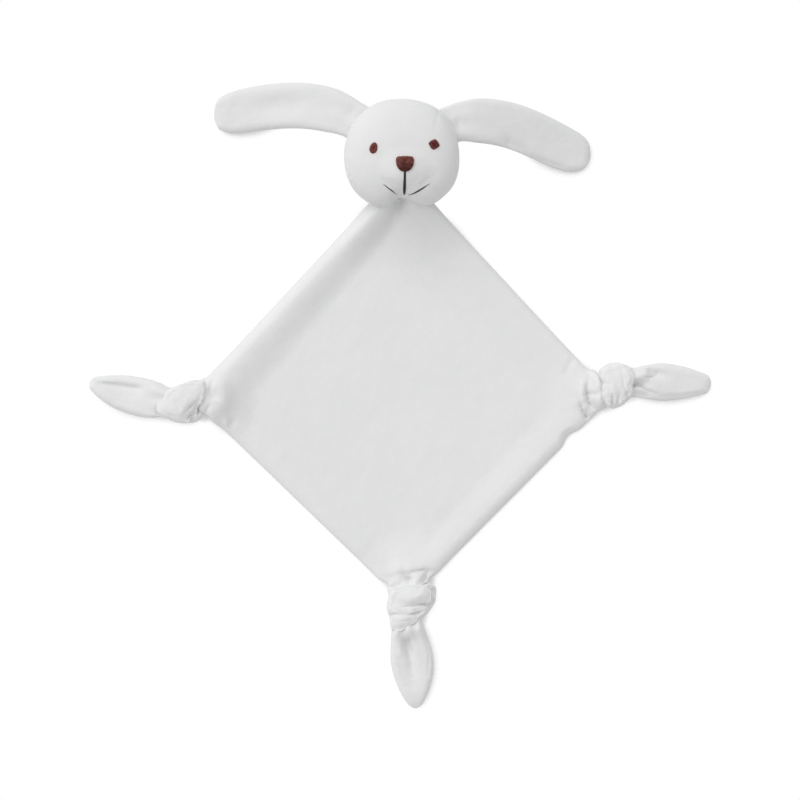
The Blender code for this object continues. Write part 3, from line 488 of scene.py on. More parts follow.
def alongLine(spot, start, end):
    # distance from the line and the share along it
    line, offset = end - start, spot - start
    return abs(line.x * offset.y - line.y * offset.x) / line.length, line.dot(offset) / line.length_squared


def blanketShape(spot):
    # height of the middle, extra thickness on top, and gather share at a plan point
    middle, top, gather = blanket["stack"] / 2, 0, 0
    begins, ends = blanket["rollFade"]
    narrow, widens = blanket["widens"]
    for first, second, inset, outer, inner, height, start, end in blanket["rolls"]:
        inside, along = alongLine(spot, blanket["tips"][first], blanket["tips"][second])
        width = outer if inside < inset else inner * (narrow + widens * along)
        if abs(inside - inset) < width:
            share = ease(along - end + ends, ends)
            if start:
                share *= ease(start + begins - along, begins)
            else:
                # this roll comes down from the neck, where it is higher
                more, until, fade = blanket["neckSwell"]
                share *= 1 + more * ease(along - until, fade)
            top += height * share * ease(abs(inside - inset), width)
    top += foldHeight(spot, blanket["folds"])
    for corner in corners.values():
        offset = spot - corner["hinge"]
        offset.z = 0
        reach = offset.length
        rise, rises = corner["rise"]
        if reach < rises:
            flat = blanket["cornerFlat"]
            middle += (rise - blanket["stack"] / 2) * ease(reach - flat, rises - flat)
            gather = max(gather, ease(reach, blanket["gatherReach"]))
            angle = math.atan2(offset.y, offset.x)
            pleat = math.cos(9 * angle + 2.2 * math.sin(angle * 3 + corner["knotAngle"]))
            height, pleatReach, start = blanket["pleats"]
            top += height * pleat * ease(reach, pleatReach) * min(reach / start, 1)
    away = max((spot - blanket["tentTop"]).length - blanket["tentFlat"], 0)
    tent = max(1 - away / blanket["tentReach"], 0) ** blanket["tentPower"]
    middle += blanket["tentRise"] * tent
    return middle, top, gather


def blanketPoint(u, v, side):
    u, v = (finerAtEdges(t, 0.5) for t in (u, v))
    across, ahead = (u - v) / 2, (u + v) / 2
    tips = blanket["tips"]
    spot = abs(across) * tips["right" if across > 0 else "left"]
    spot += abs(ahead) * tips["top" if ahead > 0 else "bottom"]
    inside = min(1 - abs(u), 1 - abs(v)) * blanket["halfSide"]
    middle, top, gather = blanketShape(spot)
    half = blanket["stack"] / 2 - blanket["floorGap"] + blanket["gatherSwell"] * gather
    # a fold deeper than the cloth takes the lower layer down with it
    deep = min(top + 2 * half - blanket["thinnest"], 0)
    middle, top = middle + deep, top - deep
    height = middle + lumpy(spot, blanket["seamLumps"], 1)
    rise = roundEdge(inside / blanket["edgeWidth"])
    if side > 0:
        height += (half + top + lumpy(spot, blanket["lumps"], 2)) * rise
    else:
        height -= half * rise
    place = spot + up * max(height, blanket["floorGap"] / 2)
    for name, corner in corners.items():
        # the gathered corners are wider than the flat cloth
        outward = heading(corner["knotAngle"])
        fromTip = (tips[name] - place).dot(outward)
        if fromTip < blanket["bulgeReach"]:
            aside = place - tips[name]
            aside.z = 0
            aside -= outward * aside.dot(outward)
            place += aside * ease(fromTip, blanket["bulgeReach"])
    for x, y, reach, dx, dy in blanket["pulls"]:
        away = math.hypot(place.x / millimetre - x, place.y / millimetre - y)
        if away < reach:
            place += Vector((dx, dy, 0)) * millimetre * ease(away, reach)
    # the top corner is tucked in under the chin
    tuck = blanket["tuck"]
    past = place.y - tuck["from"]
    if past > 0:
        place.y = tuck["from"] + past * tuck["share"]
        place.x = tuck["middle"] + (place.x - tuck["middle"]) * (1 - tuck["narrows"] * min(past, tuck["reach"]))
    return place


bm = doubleLayer(blanket["cells"], blanket["cells"], blanketPoint)
blanketPiece = newPiece(bm, "blanket", blanketVelour)
print("blanket made")

# Head: an oval cushion sewn from a face and a back panel, with a muzzle and a nipped-in chin
head = {
    "centre": Vector((0.0010, 0.1534, 0.0230)),
    "halfWidth": 0.0367,
    "halfHeight": 0.0344,
    "halfDepth": 0.0230,
    "rightShare": 0.962,
    "topShare": 0.978,
    "cheekDrop": 0.0030,
    "outlinePower": 2.3,
    "depthPower": 2.5,
    "rightFullness": 0.4,
    "cells": 76,
    "lumps": ((0.00045, 0.020), (0.00014, 0.0065)),
    "seam": {"height": 0.0015, "ride": 0.0080, "rideAngle": 192, "width": 0.0009, "depth": 0.0006, "pucker": 0.35,
             "stitches": 46, "lip": 0.00022, "lipPlace": 0.0019, "lipWidth": 0.0012},
    "muzzle": {"x": 0.0020, "y": -0.0130, "wide": 1.25, "push": 0.0034, "reach": 0.0160},
    "foldFade": 0.004,        # the face's folds fade down to the head's middle over this height
    "chinReach": 0.016,
    "folds": (
        ("crease", 0.8, (25.4, 181.6, -0.3), (28.5, 178.6, -1), (32.4, 174.6, -1)),
        ("roll", 0.8, (24.6, 179.4, 0.3), (28, 175.6, 0.3)),
        ("roll", 1.2, (23.7, 178.5, -0.15), (22.7, 173.2, -0.25), (20.8, 166, -0.15)),
        ("roll", 4.6, (15, 142.5, -0.6), (19.5, 136.5, -1), (22, 130, -0.6)),
        ("roll", 1.6, (-10.8, 134.4, -0.5), (-8, 131.8, -0.4)),
        ("roll", 4.4, (-7, 130.5, -0.5), (2, 129.5, -0.9), (14, 131, -0.9)),
        ("roll", 1.6, (8.5, 133.5, -0.25), (11.5, 137, -0.2)),
        ("roll", 1.5, (13, 131.5, -0.3), (16.5, 135, -0.3)),
        ("roll", 1.3, (-4.5, 129.5, -0.35), (-5.5, 134, -0.2)),
        ("roll", 1.3, (3.7, 120.6, 0.5), (9, 121.2, 0.5)),
        ("roll", 3.2, (-2.2, 119, -2.2), (-1.6, 124, -1.6), (0.4, 129, -0.5)),
    ),
    # the chin: across, width to its left and right, and how far it is lifted, in metres
    "chin": (
        (-0.0020, 0.0065, 0.0115, 0.0066),
        (-0.0180, 0.0080, 0.0080, -0.0013),
        (0.0185, 0.0080, 0.0080, -0.0016),
    ),
}


def headOutline(angle):
    across, ahead = abs(math.cos(angle)), abs(math.sin(angle))
    power = head["outlinePower"]
    return (across ** power + ahead ** power) ** (-1 / power)


def headSurface(unit):
    angle = math.atan2(unit.y, unit.x)
    depthPower = head["depthPower"] + head["rightFullness"] * max(math.cos(angle), 0)
    radius = math.hypot(unit.x, unit.y) ** (2 / depthPower) * headOutline(angle)
    x = head["halfWidth"] * radius * math.cos(angle)
    x *= head["rightShare"] if x > 0 else 1
    y = head["halfHeight"] * radius * math.sin(angle)
    y *= head["topShare"] if y > 0 else 1
    y -= head["cheekDrop"] * (1 - (y / head["halfHeight"]) ** 2)
    z = head["halfDepth"] * math.copysign(abs(unit.z) ** (2 / depthPower), unit.z)
    return Vector((x, y, z))


def headShape(unit):
    spot = headSurface(unit)
    wide, tall, deep = head["halfWidth"], head["halfHeight"], head["halfDepth"]
    outward = Vector((spot.x / wide ** 2, spot.y / tall ** 2, spot.z / deep ** 2)).normalized()
    angle = math.atan2(spot.y, spot.x)
    seam, muzzle = head["seam"], head["muzzle"]
    # the seam rides up towards the face on the left side
    ride = max(0, math.cos(angle - math.radians(seam["rideAngle"]))) ** 1.5
    fromSeam = spot.z - seam["height"] - seam["ride"] * ride
    pucker = 1 + seam["pucker"] * math.sin(seam["stitches"] * angle + 2 * math.sin(7 * angle))
    push = -seam["depth"] * bell(fromSeam, seam["width"]) * pucker
    push += seam["lip"] * bell(abs(fromSeam) - seam["lipPlace"], seam["lipWidth"])
    push += lumpy(spot, head["lumps"], 5)
    if spot.z > 0:
        away = math.hypot((spot.x - muzzle["x"]) / muzzle["wide"], spot.y - muzzle["y"])
        push += muzzle["push"] * ease(away, muzzle["reach"])
        push += foldHeight(head["centre"] + spot, head["folds"]) * min(spot.z / head["foldFade"], 1)
    spot += outward * push
    low = ease(spot.y + tall + head["cheekDrop"], head["chinReach"])
    across = spot.x
    for place, left, right, lift in head["chin"]:
        spot.y += lift * low * bell(across - place, right if across > place else left)
    return head["centre"] + spot


bm = bmesh.new()
bmesh.ops.create_cube(bm, size=2)
bmesh.ops.subdivide_edges(bm, edges=bm.edges[:], cuts=head["cells"], use_grid_fill=True)
for vert in bm.verts:
    # even cells over the ball
    even = Vector([math.tan(c * math.pi / 4) for c in vert.co])
    vert.co = headShape(even.normalized())
headPiece = newPiece(bm, "head", headVelour)
headTree = BVHTree.FromObject(headPiece, bpy.context.evaluated_depsgraph_get())
print("head made")


def onFace(x, y):
    # height and normal of the sewn face at a plan point, from a ray straight down
    place, normal, *rest = headTree.ray_cast(Vector((x, y, 0.1)), -up)
    return place.z, normal


# Embroidery: satin stitches laid side by side over the face
eyes = {
    # each eye's colour is lifted or lowered as a whole by painted sheen, and darkened towards its middle
    "left": {"x": -0.0180, "y": 0.0007, "outline": ((0, 0.98), (60, 1.02), (115, 0.92), (180, 1.0)),
             "halfWidth": 0.0026, "halfHeight": 0.0037, "lean": -14, "power": 2.0, "tint": (0.05, 0.16),
             "raised": 0.0011, "stitch": 0.00044, "slant": 12},
    "right": {"x": 0.0195, "y": 0.0029, "outline": ((0, 1.0), (90, 1.0), (180, 1.0)),
              "halfWidth": 0.0036, "halfHeight": 0.0035, "lean": -12, "power": 1.35, "tint": (-0.02, 0.17),
              "raised": 0.0011, "stitch": 0.00044, "slant": 12},
}
nose = {
    "x": 0.0014,
    "y": -0.0089,
    "halfWidth": 0.0057,
    "outline": ((0, 0.975), (20, 0.99), (39, 0.975), (58, 0.955), (76, 0.965), (90, 0.97), (124, 1.07), (150, 0.80),
                (180, 0.72)),
    "raised": 0.0028,
    "foot": 27,               # how fast painted shade darkens the thread towards the foot
    "middle": (0.04, 0.002, 0.003),  # painted shade: how much darker its middle is, how far below the centre, and how wide
    "stitch": 0.00046,
}
mouth = {
    "rib": 0.16,              # how much the twist ridges the thread
    "pressed": 0.62,          # height of the thread for its width
    "proud": 0.16,
    "philtrumLength": 0.0127,
    "philtrumLean": 0.0003,
    "twists": (160, 120),     # of the philtrum's and the smile's thread, in radians
    "start": 0.96,            # how low on the nose the philtrum starts
    "philtrumWidths": ((0, 0.00064), (0.45, 0.00076), (0.8, 0.00088), (1, 0.00078)),
    "lip": 0.0137,            # how far below the nose the smile's points are measured from
    "smile": (
        ((-0.0134, 0.0066), (-0.0110, 0.0046), (-0.0078, 0.0022), (-0.0049, 0.0008)),
        ((0.0018, 0.0003), (0.0065, 0.0003), (0.0125, 0.0053), (0.0157, 0.0069)),
    ),
    "smileWidths": (
        ((0, 0.00012), (0.25, 0.00027), (0.6, 0.00038), (0.85, 0.00030), (1, 0.00012)),
        ((0, 0.00014), (0.15, 0.00032), (0.4, 0.00052), (0.6, 0.00046), (0.8, 0.00024), (1, 0.00010)),
    ),
}
satin = {
    "thread": 0.20,           # share of the height that each thread's roundness gives
    "fray": 0.00012,
    "edge": 1.7,              # how steeply the rim rises
    "sunk": 0.0004,
    "back": 0.0006,           # depth of the closed underside
}


def satinPatch(name, centre, reach, raised, material, stitch, slant, tint, rings=26, segments=96):
    # a padded patch of stitches: a disc of rings, laid on the face, ridged across by each stitch
    bm = bmesh.new()
    paintedLightLayer = bm.verts.layers.float.new("tint")
    bmesh.ops.create_circle(bm, cap_ends=True, cap_tris=False, radius=1, segments=segments)
    disc = bm.faces[:]
    for ring in range(1, rings):
        bmesh.ops.inset_region(bm, faces=disc, thickness=0.0001, use_even_offset=False, use_boundary=True)
        for vert in set(v for face in disc for v in face.verts):
            vert.co = Vector((vert.co.x, vert.co.y, 0)).normalized() * (1 - ring / rings)
    for vert in bm.verts:
        size, angle = math.hypot(vert.co.x, vert.co.y), math.atan2(vert.co.y, vert.co.x)
        local = Vector((math.cos(angle), math.sin(angle), 0)) * size * reach(angle)
        spot = centre + local
        spot.z, normal = onFace(spot.x, spot.y)
        across = local.x * math.cos(slant) + local.y * math.sin(slant)
        ridge = 0.5 + 0.5 * math.cos(2 * math.pi * across / stitch)
        fray = 0.5 + 0.5 * noise.noise(Vector((across / stitch, 0, 7)))
        height = raised * roundEdge((1 - size) * satin["edge"], 2) * (1 - satin["thread"] * (1 - ridge ** 0.7))
        height += satin["fray"] * fray * ridge - (satin["sunk"] if size > 0.999 else 0)
        # the painted light and shade at this point, which the thread's colour takes up
        vert[paintedLightLayer] = tint(size, local)
        vert.co = spot + normal * height
    rim = [edge for edge in bm.edges if edge.is_boundary]
    back = newVerts(bmesh.ops.extrude_edge_only(bm, edges=rim))
    bmesh.ops.translate(bm, verts=back, vec=-up * satin["back"])
    closeHoles(bm)
    return newPiece(bm, name, material)


def fromFoot(angle):
    # degrees round from straight down, the same on both sides
    return math.degrees(abs(math.remainder(angle + math.pi / 2, 2 * math.pi)))


def eyeReach(eye):
    def reach(angle):
        turned = angle - math.radians(eye["lean"])
        power = eye["power"]
        across, ahead = abs(math.cos(turned)) / eye["halfWidth"], abs(math.sin(turned)) / eye["halfHeight"]
        return (across ** power + ahead ** power) ** (-1 / power) * smoothTable(eye["outline"], fromFoot(turned))

    return reach


faceCentre = Vector((head["centre"].x, head["centre"].y, 0))
stitched = []
for side, eye in eyes.items():
    centre = faceCentre + Vector((eye["x"], eye["y"], 0))
    # painted sheen for the whole eye, and how much darker its middle is
    middle, darker = eye["tint"]
    patch = satinPatch(
        side + "_eye_stitches", centre, eyeReach(eye), eye["raised"], eyeThread, eye["stitch"],
        math.radians(eye["slant"]), lambda size, spot: middle - darker * bell(size, 0.5), rings=14, segments=64,
    )
    stitched.append((patch, side + "_eye", "eye_thread"))
nosePlace = faceCentre + Vector((nose["x"], nose["y"], 0))
darker, below, wide = nose["middle"]
# the nose's thread is painted darker towards its foot and in its lower middle, as painted shade
nosePatch = satinPatch(
    "nose_stitches", nosePlace, lambda angle: nose["halfWidth"] * smoothTable(nose["outline"], fromFoot(angle)),
    nose["raised"], noseThread, nose["stitch"], 0,
    lambda size, spot: nose["foot"] * spot.y - darker * bell(math.hypot(spot.x, spot.y + below), wide),
)
stitched.append((nosePatch, "nose", "nose_thread"))


def stitchedLine(name, route, widths, twist, sides=10, steps=90):
    # a stitched line: a round thread pressed on the face, ridged by its twist
    stations = []
    for step in range(steps + 1):
        share = step / steps
        x, y = route(share)
        ahead = Vector(route(min(share + 0.01, 1))) - Vector(route(max(share - 0.01, 0)))
        z, normal = onFace(x, y)
        across = ahead.to_3d().normalized().cross(normal).normalized()
        stations.append((Vector((x, y, z)), across, normal, smoothTable(widths, share), share * twist))

    def place(station, angle):
        spot, across, normal, radius, turn = station
        rib = 1 + mouth["rib"] * math.cos(angle + turn)
        high = math.sin(angle) * mouth["pressed"] * rib + mouth["proud"]
        return spot + across * (math.cos(angle) * radius * rib) + normal * (radius * high)

    bm = bmesh.new()
    drawTube(bm, sides, stations, place)
    return newPiece(bm, name, mouthThread)


def bentRoute(points, origin):
    # a smooth route through four points
    def route(share):
        t, r = share, 1 - share
        parts = (r ** 3, 3 * r * r * t, 3 * r * t * t, t ** 3)
        return [o + sum(p * c for p, c in zip(parts, row)) for o, row in zip(origin, zip(*points))]

    return route


noseFoot = nosePlace.y - nose["halfWidth"] * mouth["start"]
philtrumTwist, smileTwist = mouth["twists"]
lip = (nosePlace.x, noseFoot - mouth["lip"])
philtrum = stitchedLine(
    "philtrum_stitches",
    lambda share: (nosePlace.x - mouth["philtrumLean"] * share, noseFoot - mouth["philtrumLength"] * share),
    mouth["philtrumWidths"],
    philtrumTwist,
)
stitched.append((philtrum, "philtrum", "mouth_thread"))
for side, points, widths in zip(("left", "right"), mouth["smile"], mouth["smileWidths"]):
    smile = stitchedLine(side + "_smile_stitches", bentRoute(points, lip), widths, smileTwist)
    stitched.append((smile, "smile", "mouth_thread"))
print("face embroidered")

# Ears and tails: sewn double leaves that lie along a bending line
def walkLine(start, headings, length, steps=80):
    spots, turns = [start.copy()], [smoothTable(headings, 0)]
    for step in range(steps):
        spots.append(spots[-1] + heading(smoothTable(headings, (step + 0.5) / steps)) * (length / steps))
        turns.append(smoothTable(headings, (step + 1) / steps))
    return spots, turns


def alongWalk(walk, share):
    spots, turns = walk
    place = share * (len(spots) - 1)
    index = min(max(int(place), 0), len(spots) - 2)
    part = place - index
    return spots[index].lerp(spots[index + 1], part), turns[index] * (1 - part) + turns[index + 1] * part


def leafPoint(leaf, u, v, side):
    # u runs from the root to the tip, v across
    rootShare = leaf["rootBack"] / leaf["length"]
    share = -rootShare + (1 + rootShare) * (1 - ((1 - u) / 2) ** leaf["tipFiner"])
    share -= (leaf["tipRound"] * v * v - leaf["tipSkew"] * v) * ease(1 - share, leaf["tipReach"])
    v = finerAtEdges(v, 0.45)
    spot, turn = alongWalk(leaf["walk"], share)
    held = min(max(share, 0), 1)
    halfWidth = leaf["halfWidth"] * smoothTable(leaf["widths"], held)
    half = leaf["halfThickness"] * smoothTable(leaf["swell"], held)
    place = spot + heading(turn + 90) * (v * halfWidth)
    place.z = 0
    seed = leaf["seed"]
    height = leaf["rest"] + (leaf["hinge"].z - leaf["rest"]) * smoothTable(leaf["heights"], held)
    height += lumpy(place, leaf["seamLumps"], seed)
    edge = min((1 - abs(v)) * halfWidth, (1 - held) * leaf["length"] * leaf["tipEdge"]) / leaf["edgeWidth"]
    rise = roundEdge(edge, leaf["edgePower"])
    if side > 0:
        top = half
        for root, tip, wide, begins, ends, deep in leaf["valleys"]:
            inSpan = ease(begins - held, leaf["fade"]) * ease(held - ends, leaf["fade"])
            top += deep * inSpan * bell(v - root - (tip - root) * held, wide)
        pleats = math.cos(leaf["pleats"] * v + seed) * ease(held, leaf["pleatReach"])
        top += leaf["pleatDepth"] * pleats + foldHeight(place, leaf["folds"]) + lumpy(place, leaf["lumps"], seed + 1)
        height += max(top, leaf["thinnest"]) * rise
    else:
        height -= (half + lumpy(place, leaf["backLumps"], seed + 3)) * rise
    place.z = max(height, blanket["floorGap"] / 2)
    return place


def makeLeaf(name, leaf, material, rows=110, columns=44):
    leaf["walk"] = walkLine(leaf["hinge"] + leaf["shift"], leaf["headings"], leaf["length"])
    bm = doubleLayer(rows, columns, lambda u, v, side: leafPoint(leaf, u, v, side))
    return newPiece(bm, name, material)


leafLook = {
    "shift": Vector((0, 0, 0)),  # from the hinge to the middle of the root
    "rootBack": 0.0060,       # how far the leaf reaches in behind its hinge
    "tipFiner": 1.25,         # how much closer the cells lie near the tip
    "tipReach": 0.30,         # share of the length that the tip's roundness takes
    "tipEdge": 0.9,
    "pleatReach": 0.32,
    "edgePower": 2.2,
    "tipSkew": 0.0,
    "thinnest": 0.0006,
    "lumps": ((0.00030, 0.012), (0.00012, 0.0045)),
    "seamLumps": ((0.00010, 0.002),),
    "backLumps": ((0.0002, 0.010),),
}
earLook = {
    **leafLook,
    "length": 0.0905,
    "halfWidth": 0.0144,
    "halfThickness": 0.0044,
    "rest": 0.0046,
    "tipRound": 0.034,
    "fade": 0.20,
    "edgeWidth": 0.0052,
    "widths": ((0, 0.83), (0.08, 0.90), (0.16, 0.97), (0.3, 1), (0.6, 1), (0.75, 0.98), (0.86, 0.92), (0.93, 0.80),
               (0.98, 0.60), (1, 0.44)),
    "heights": ((0, 1), (0.15, 0.91), (0.4, 0.60), (0.6, 0.35), (0.8, 0.13), (1, 0)),
    "swell": ((0, 0.90), (0.15, 0.85), (0.4, 1), (0.8, 0.98), (1, 0.80)),
    "pleats": 7,
    "pleatDepth": 0.0004,
}
leftEar = dict(
    earLook,
    hinge=Vector((-0.03113, 0.17260, 0.0230)),
    shift=Vector((0.0004, 0.0019, 0)),
    headings=((0, 151), (0.1, 158), (0.3, 171), (0.5, 181), (0.8, 189.5), (1, 191)),
    tipSkew=0.016,
    seed=11,
    folds=(
        ("roll", 3, (-33, 176, -0.5), (-29.5, 181, -0.8)),
        ("crease", 1.2, (-100, 165.5, -0.3), (-80, 168, -1), (-62, 168.4, -0.4)),
    ),
    # valleys along it: place across at root and tip, width, start and end shares, height
    valleys=(
        (0.02, 0.02, 0.42, 0.47, 0.60, -0.0016),
        (-0.60, -0.60, 0.25, 0.47, 0.60, 0.0003),
    ),
)
rightEar = dict(
    earLook,
    hinge=Vector((0.03417, 0.17077, 0.0230)),
    shift=Vector((0, 0.0012, 0)),
    headings=((0, 20), (0.07, 7), (0.2, -1.5), (0.35, -11.5), (0.5, -20), (0.7, -24.5), (0.85, -20), (1, -10)),
    tipSkew=-0.004,
    widths=((0, 0.83), (0.08, 0.90), (0.16, 0.97), (0.3, 1), (0.6, 1), (0.75, 0.98), (0.86, 0.91), (0.93, 0.77),
            (0.98, 0.54), (1, 0.38)),
    seed=17,
    folds=(
        ("roll", 3, (64.5, 166, -0.5), (68, 161.6, -1.3), (69.5, 157.5, -1.3)),
        ("crease", 1.4, (72, 157, -0.6), (90, 149.5, -1.6), (103, 146, -1)),
        ("roll", 1.8, (28, 179, -1), (35.5, 172.5, -1.2), (37, 164, -0.5)),
    ),
    valleys=(
        (-0.80, -0.80, 0.20, 0.44, 0.48, -0.0014),
    ),
)
leftEarPiece = makeLeaf("left_ear", leftEar, headVelour)
rightEarPiece = makeLeaf("right_ear", rightEar, headVelour)
print("ears made")

tailLook = {
    **leafLook,
    "halfThickness": 0.0052,
    "rest": 0.0054,
    "tipRound": 0.050,
    "fade": 0.14,
    "edgeWidth": 0.0050,
    "heights": ((0, 1), (0.15, 0.8), (0.35, 0.35), (0.6, 0.06), (1, 0)),
    "swell": ((0, 0.80), (0.15, 0.88), (0.4, 1), (0.8, 0.85), (1, 0.5)),
    "pleats": 8,
    "pleatDepth": 0.0009,
}
leftTail = dict(
    tailLook,
    hinge=corners["left"]["tailHinge"],
    length=0.0520,
    halfWidth=0.0124,
    headings=((0, 171), (0.3, 168), (0.6, 165), (1, 158)),
    folds=(("crease", 1.0, (-154.6, -4.6, -0.6), (-153.8, -10.5, -3.2)),),
    widths=((0, 0.72), (0.15, 0.92), (0.35, 1), (0.6, 0.9), (0.8, 0.66), (0.93, 0.42), (1, 0.26)),
    seed=23,
    valleys=(
        (-0.50, -0.24, 0.15, 0.44, 0.76, -0.0017),
        (-0.20, -0.20, 0.40, 0.40, 0.85, -0.0008),
    ),
)
rightTail = dict(
    tailLook,
    hinge=corners["right"]["tailHinge"],
    length=0.0480,
    halfWidth=0.0121,
    headings=((0, 3), (0.3, 0), (0.6, -3), (1, -5)),
    folds=(
        # the opening of the fold, and the shaded flap below it
        ("roll", 2.6, (158.5, 15.5, -1.8), (163, 14.2, -2), (168, 12.5, -0.6)),
        ("crease", 1.2, (153.6, 12.6, -0.8), (158, 12, -2.8), (161.5, 13, -1.2)),
        ("roll", 4, (149, 13.5, 2.2), (154, 14, 1.4)),
        ("crease", 1.1, (147, 6.6, -3.2), (149.6, 7.8, -3.6), (152.6, 6.6, -3.4), (156.4, 3.9, -2.8),
         (162, 1.6, -1.2)),
        ("roll", 2.6, (149, 2.5, -1.5), (156, 0.4, -1.1)),
    ),
    widths=((0, 0.78), (0.15, 0.9), (0.35, 1), (0.6, 0.88), (0.8, 0.68), (0.94, 0.50), (1, 0.34)),
    seed=29,
    valleys=(
        (-0.80, -0.80, 0.16, 0.30, 0.80, -0.0010),
    ),
)
bottomTail = dict(
    tailLook,
    hinge=corners["bottom"]["tailHinge"],
    length=0.0550,
    halfWidth=0.0136,
    headings=((0, -84), (0.3, -82), (0.6, -85), (1, -88)),
    folds=(
        ("roll", 5, (-2, -148.4, 2.9), (10, -146.8, 3.1)),
        ("roll", 2.4, (4, -155.6, -4.4), (5.2, -161.5, -3.8), (6.6, -168, -1.6), (7.6, -177, -0.5)),
        ("crease", 0.9, (15, -151, -0.5), (18, -163, -0.8), (17, -178, -0.5)),
        ("roll", 1.6, (-1, -154, 0.7), (-0.5, -164, 0.5)),
    ),
    widths=((0, 0.7), (0.15, 0.84), (0.4, 1), (0.6, 0.94), (0.8, 0.68), (0.93, 0.41), (1, 0.20)),
    seed=31,
    valleys=(
        (-0.10, -0.10, 0.34, 0.30, 0.70, -0.0004),
    ),
)
tailPieces = {
    "left": makeLeaf("left_tail_leaf", leftTail, blanketVelour),
    "right": makeLeaf("right_tail_leaf", rightTail, blanketVelour),
    "bottom": makeLeaf("bottom_tail_leaf", bottomTail, blanketVelour),
}
print("tails made")

# Knots: the corner rolled into a strand and tied in an overhand knot
knot = {
    "unit": 0.0041,           # radius of the rope that the route was drawn for
    "thickness": 0.0050,      # half thickness of the strand, squarely out of the knot
    "endThinner": 0.15,
    "sides": 44,
    "ends": (3.2, 1.2),       # from where the strand leads out of the knot, in units, and over how far it changes
    "endStations": 15,
    "sag": 0.55,              # how much lower those ends lie, in units
    "lean": 0.15,             # how much the strand's flat side turns up
    "centreRise": 0.0018,
    "pleats": (0.055, 0.035, 0.12),  # broad and fine pleats, and lumps
    "lumps": ((0.00030, 0.0060), (0.00014, 0.0024)),
    "flatFrom": 0.0165,       # pressed flatter above this height
    "flattening": 0.55,
    "flatFade": 0.003,
    "floorSoft": 0.0010,
    "creased": (0.35, 0.5),   # whole creases where the surface faces up this much, and over what they fade
    "voxel": 0.00055,
    # route of the strand through a tight overhand knot, in units: outward, across, up
    "route": (
        (-3.50, 0.15, -0.30), (-2.75, 0.22, -0.20), (-1.97, 0.30, -0.05), (-0.88, 0.57, -0.18), (-0.09, 1.00, -0.92),
        (0.76, 0.72, -1.69), (1.54, -0.10, -2.01), (2.03, -1.12, -1.73), (2.12, -1.97, -0.92), (1.82, -2.31, 0.15),
        (1.27, -2.01, 1.14), (0.64, -1.21, 1.69), (0.09, -0.17, 1.74), (-0.45, 0.87, 1.74), (-1.06, 1.79, 1.38),
        (-1.66, 2.28, 0.51), (-2.05, 2.15, -0.58), (-2.11, 1.44, -1.51), (-1.74, 0.43, -1.98), (-1.03, -0.50, -1.86),
        (-0.19, -0.99, -1.21), (0.60, -0.79, -0.37), (1.59, -0.32, -0.15), (2.25, -0.20, -0.20), (2.80, -0.15, -0.30),
    ),
}


def smoothRoute(rows, each=6):
    # more points through the rows, on a Catmull-Rom curve
    points = [Vector(row) for row in rows]
    points = [2 * points[0] - points[1]] + points + [2 * points[-1] - points[-2]]
    made = []
    for i in range(1, len(points) - 2):
        p0, p1, p2, p3 = points[i - 1:i + 3]
        for step in range(each):
            t = step / each
            square, cube = 2 * p0 - 5 * p1 + 4 * p2 - p3, 3 * p1 - p0 - 3 * p2 + p3
            made.append(0.5 * (2 * p1 + (p2 - p0) * t + square * t * t + cube * t ** 3))
    made.append(points[-2])
    return made


def knotStrand(corner, centre, outward, sideways, seed):
    # the strand drawn along the route, its flat side out
    stretch, (endFrom, endFade) = corner["stretch"], knot["ends"]
    route = []
    for x, y, z in smoothRoute(knot["route"]):
        inEnd = ease(endFrom - abs(x), endFade)
        if not corner["singleBand"]:
            y, z = -y, -z - knot["sag"] * inEnd
        if corner["mirrored"]:
            y = -y
        x = x * (stretch[0] * (1 - inEnd) + inEnd) + corner["slant"] * y * (1 - inEnd)
        route.append((outward * x + sideways * y * stretch[1] + up * z * stretch[2]) * knot["unit"] + centre)
    stations = []
    last = len(route) - 1
    for i, spot in enumerate(route):
        along = (route[min(i + 1, last)] - route[max(i - 1, 0)]).normalized()
        atEnd = ease(min(i, last - i), knot["endStations"])
        over = (spot - centre).normalized() * (1 - atEnd) + up * (atEnd + knot["lean"])
        over = (over - along * over.dot(along)).normalized()
        half = corner["band"] * (1 - atEnd) + corner["neck"] * atEnd
        thick = knot["thickness"] * (1 - knot["endThinner"] * atEnd)
        stations.append((i, spot, along.cross(over) * half, over * thick))
    first, second, lump = (corner["pleats"] * height for height in knot["pleats"])

    def place(station, angle):
        i, spot, across, over = station
        swell = 1 + first * math.cos(6 * angle + 1.5 * math.sin(i / 9 + seed))
        swell += second * math.cos(11 * angle + i / 14 + seed)
        swell += lump * noise.noise(Vector((math.cos(angle), math.sin(angle), i / 12 + seed)))
        return spot + (across * math.cos(angle) + over * math.sin(angle)) * swell

    bm = bmesh.new()
    drawTube(bm, knot["sides"], stations, place)
    return bm


def drawToOutline(piece, outline, bins=60):
    # stretches the piece in plan until it fills the outline
    points = [Vector((x, y, 0)) * millimetre for x, y in outline]
    middle = sum(points, Vector()) / len(points)

    def polar(spot):
        return math.atan2(spot.y - middle.y, spot.x - middle.x), math.hypot(spot.x - middle.x, spot.y - middle.y)

    wanted = sorted(polar(point) for point in points)
    full = 2 * math.pi
    wanted = [(a - full, r) for a, r in wanted[-2:]] + wanted + [(a + full, r) for a, r in wanted[:2]]
    widest = [0] * bins
    for vert in piece.data.vertices:
        angle, away = polar(vert.co)
        place = int((angle / full + 0.5) * bins) % bins
        widest[place] = max(widest[place], away)
    widest = [sum(widest[(k + step) % bins] for step in (-1, 0, 1)) / 3 for k in range(bins)]
    present = [((k + 0.5) / bins * full - math.pi, widest[k % bins]) for k in range(-2, bins + 2)]
    for vert in piece.data.vertices:
        angle = polar(vert.co)[0]
        grow = smoothTable(wanted, angle) / smoothTable(present, angle)
        vert.co.x = middle.x + (vert.co.x - middle.x) * grow
        vert.co.y = middle.y + (vert.co.y - middle.y) * grow


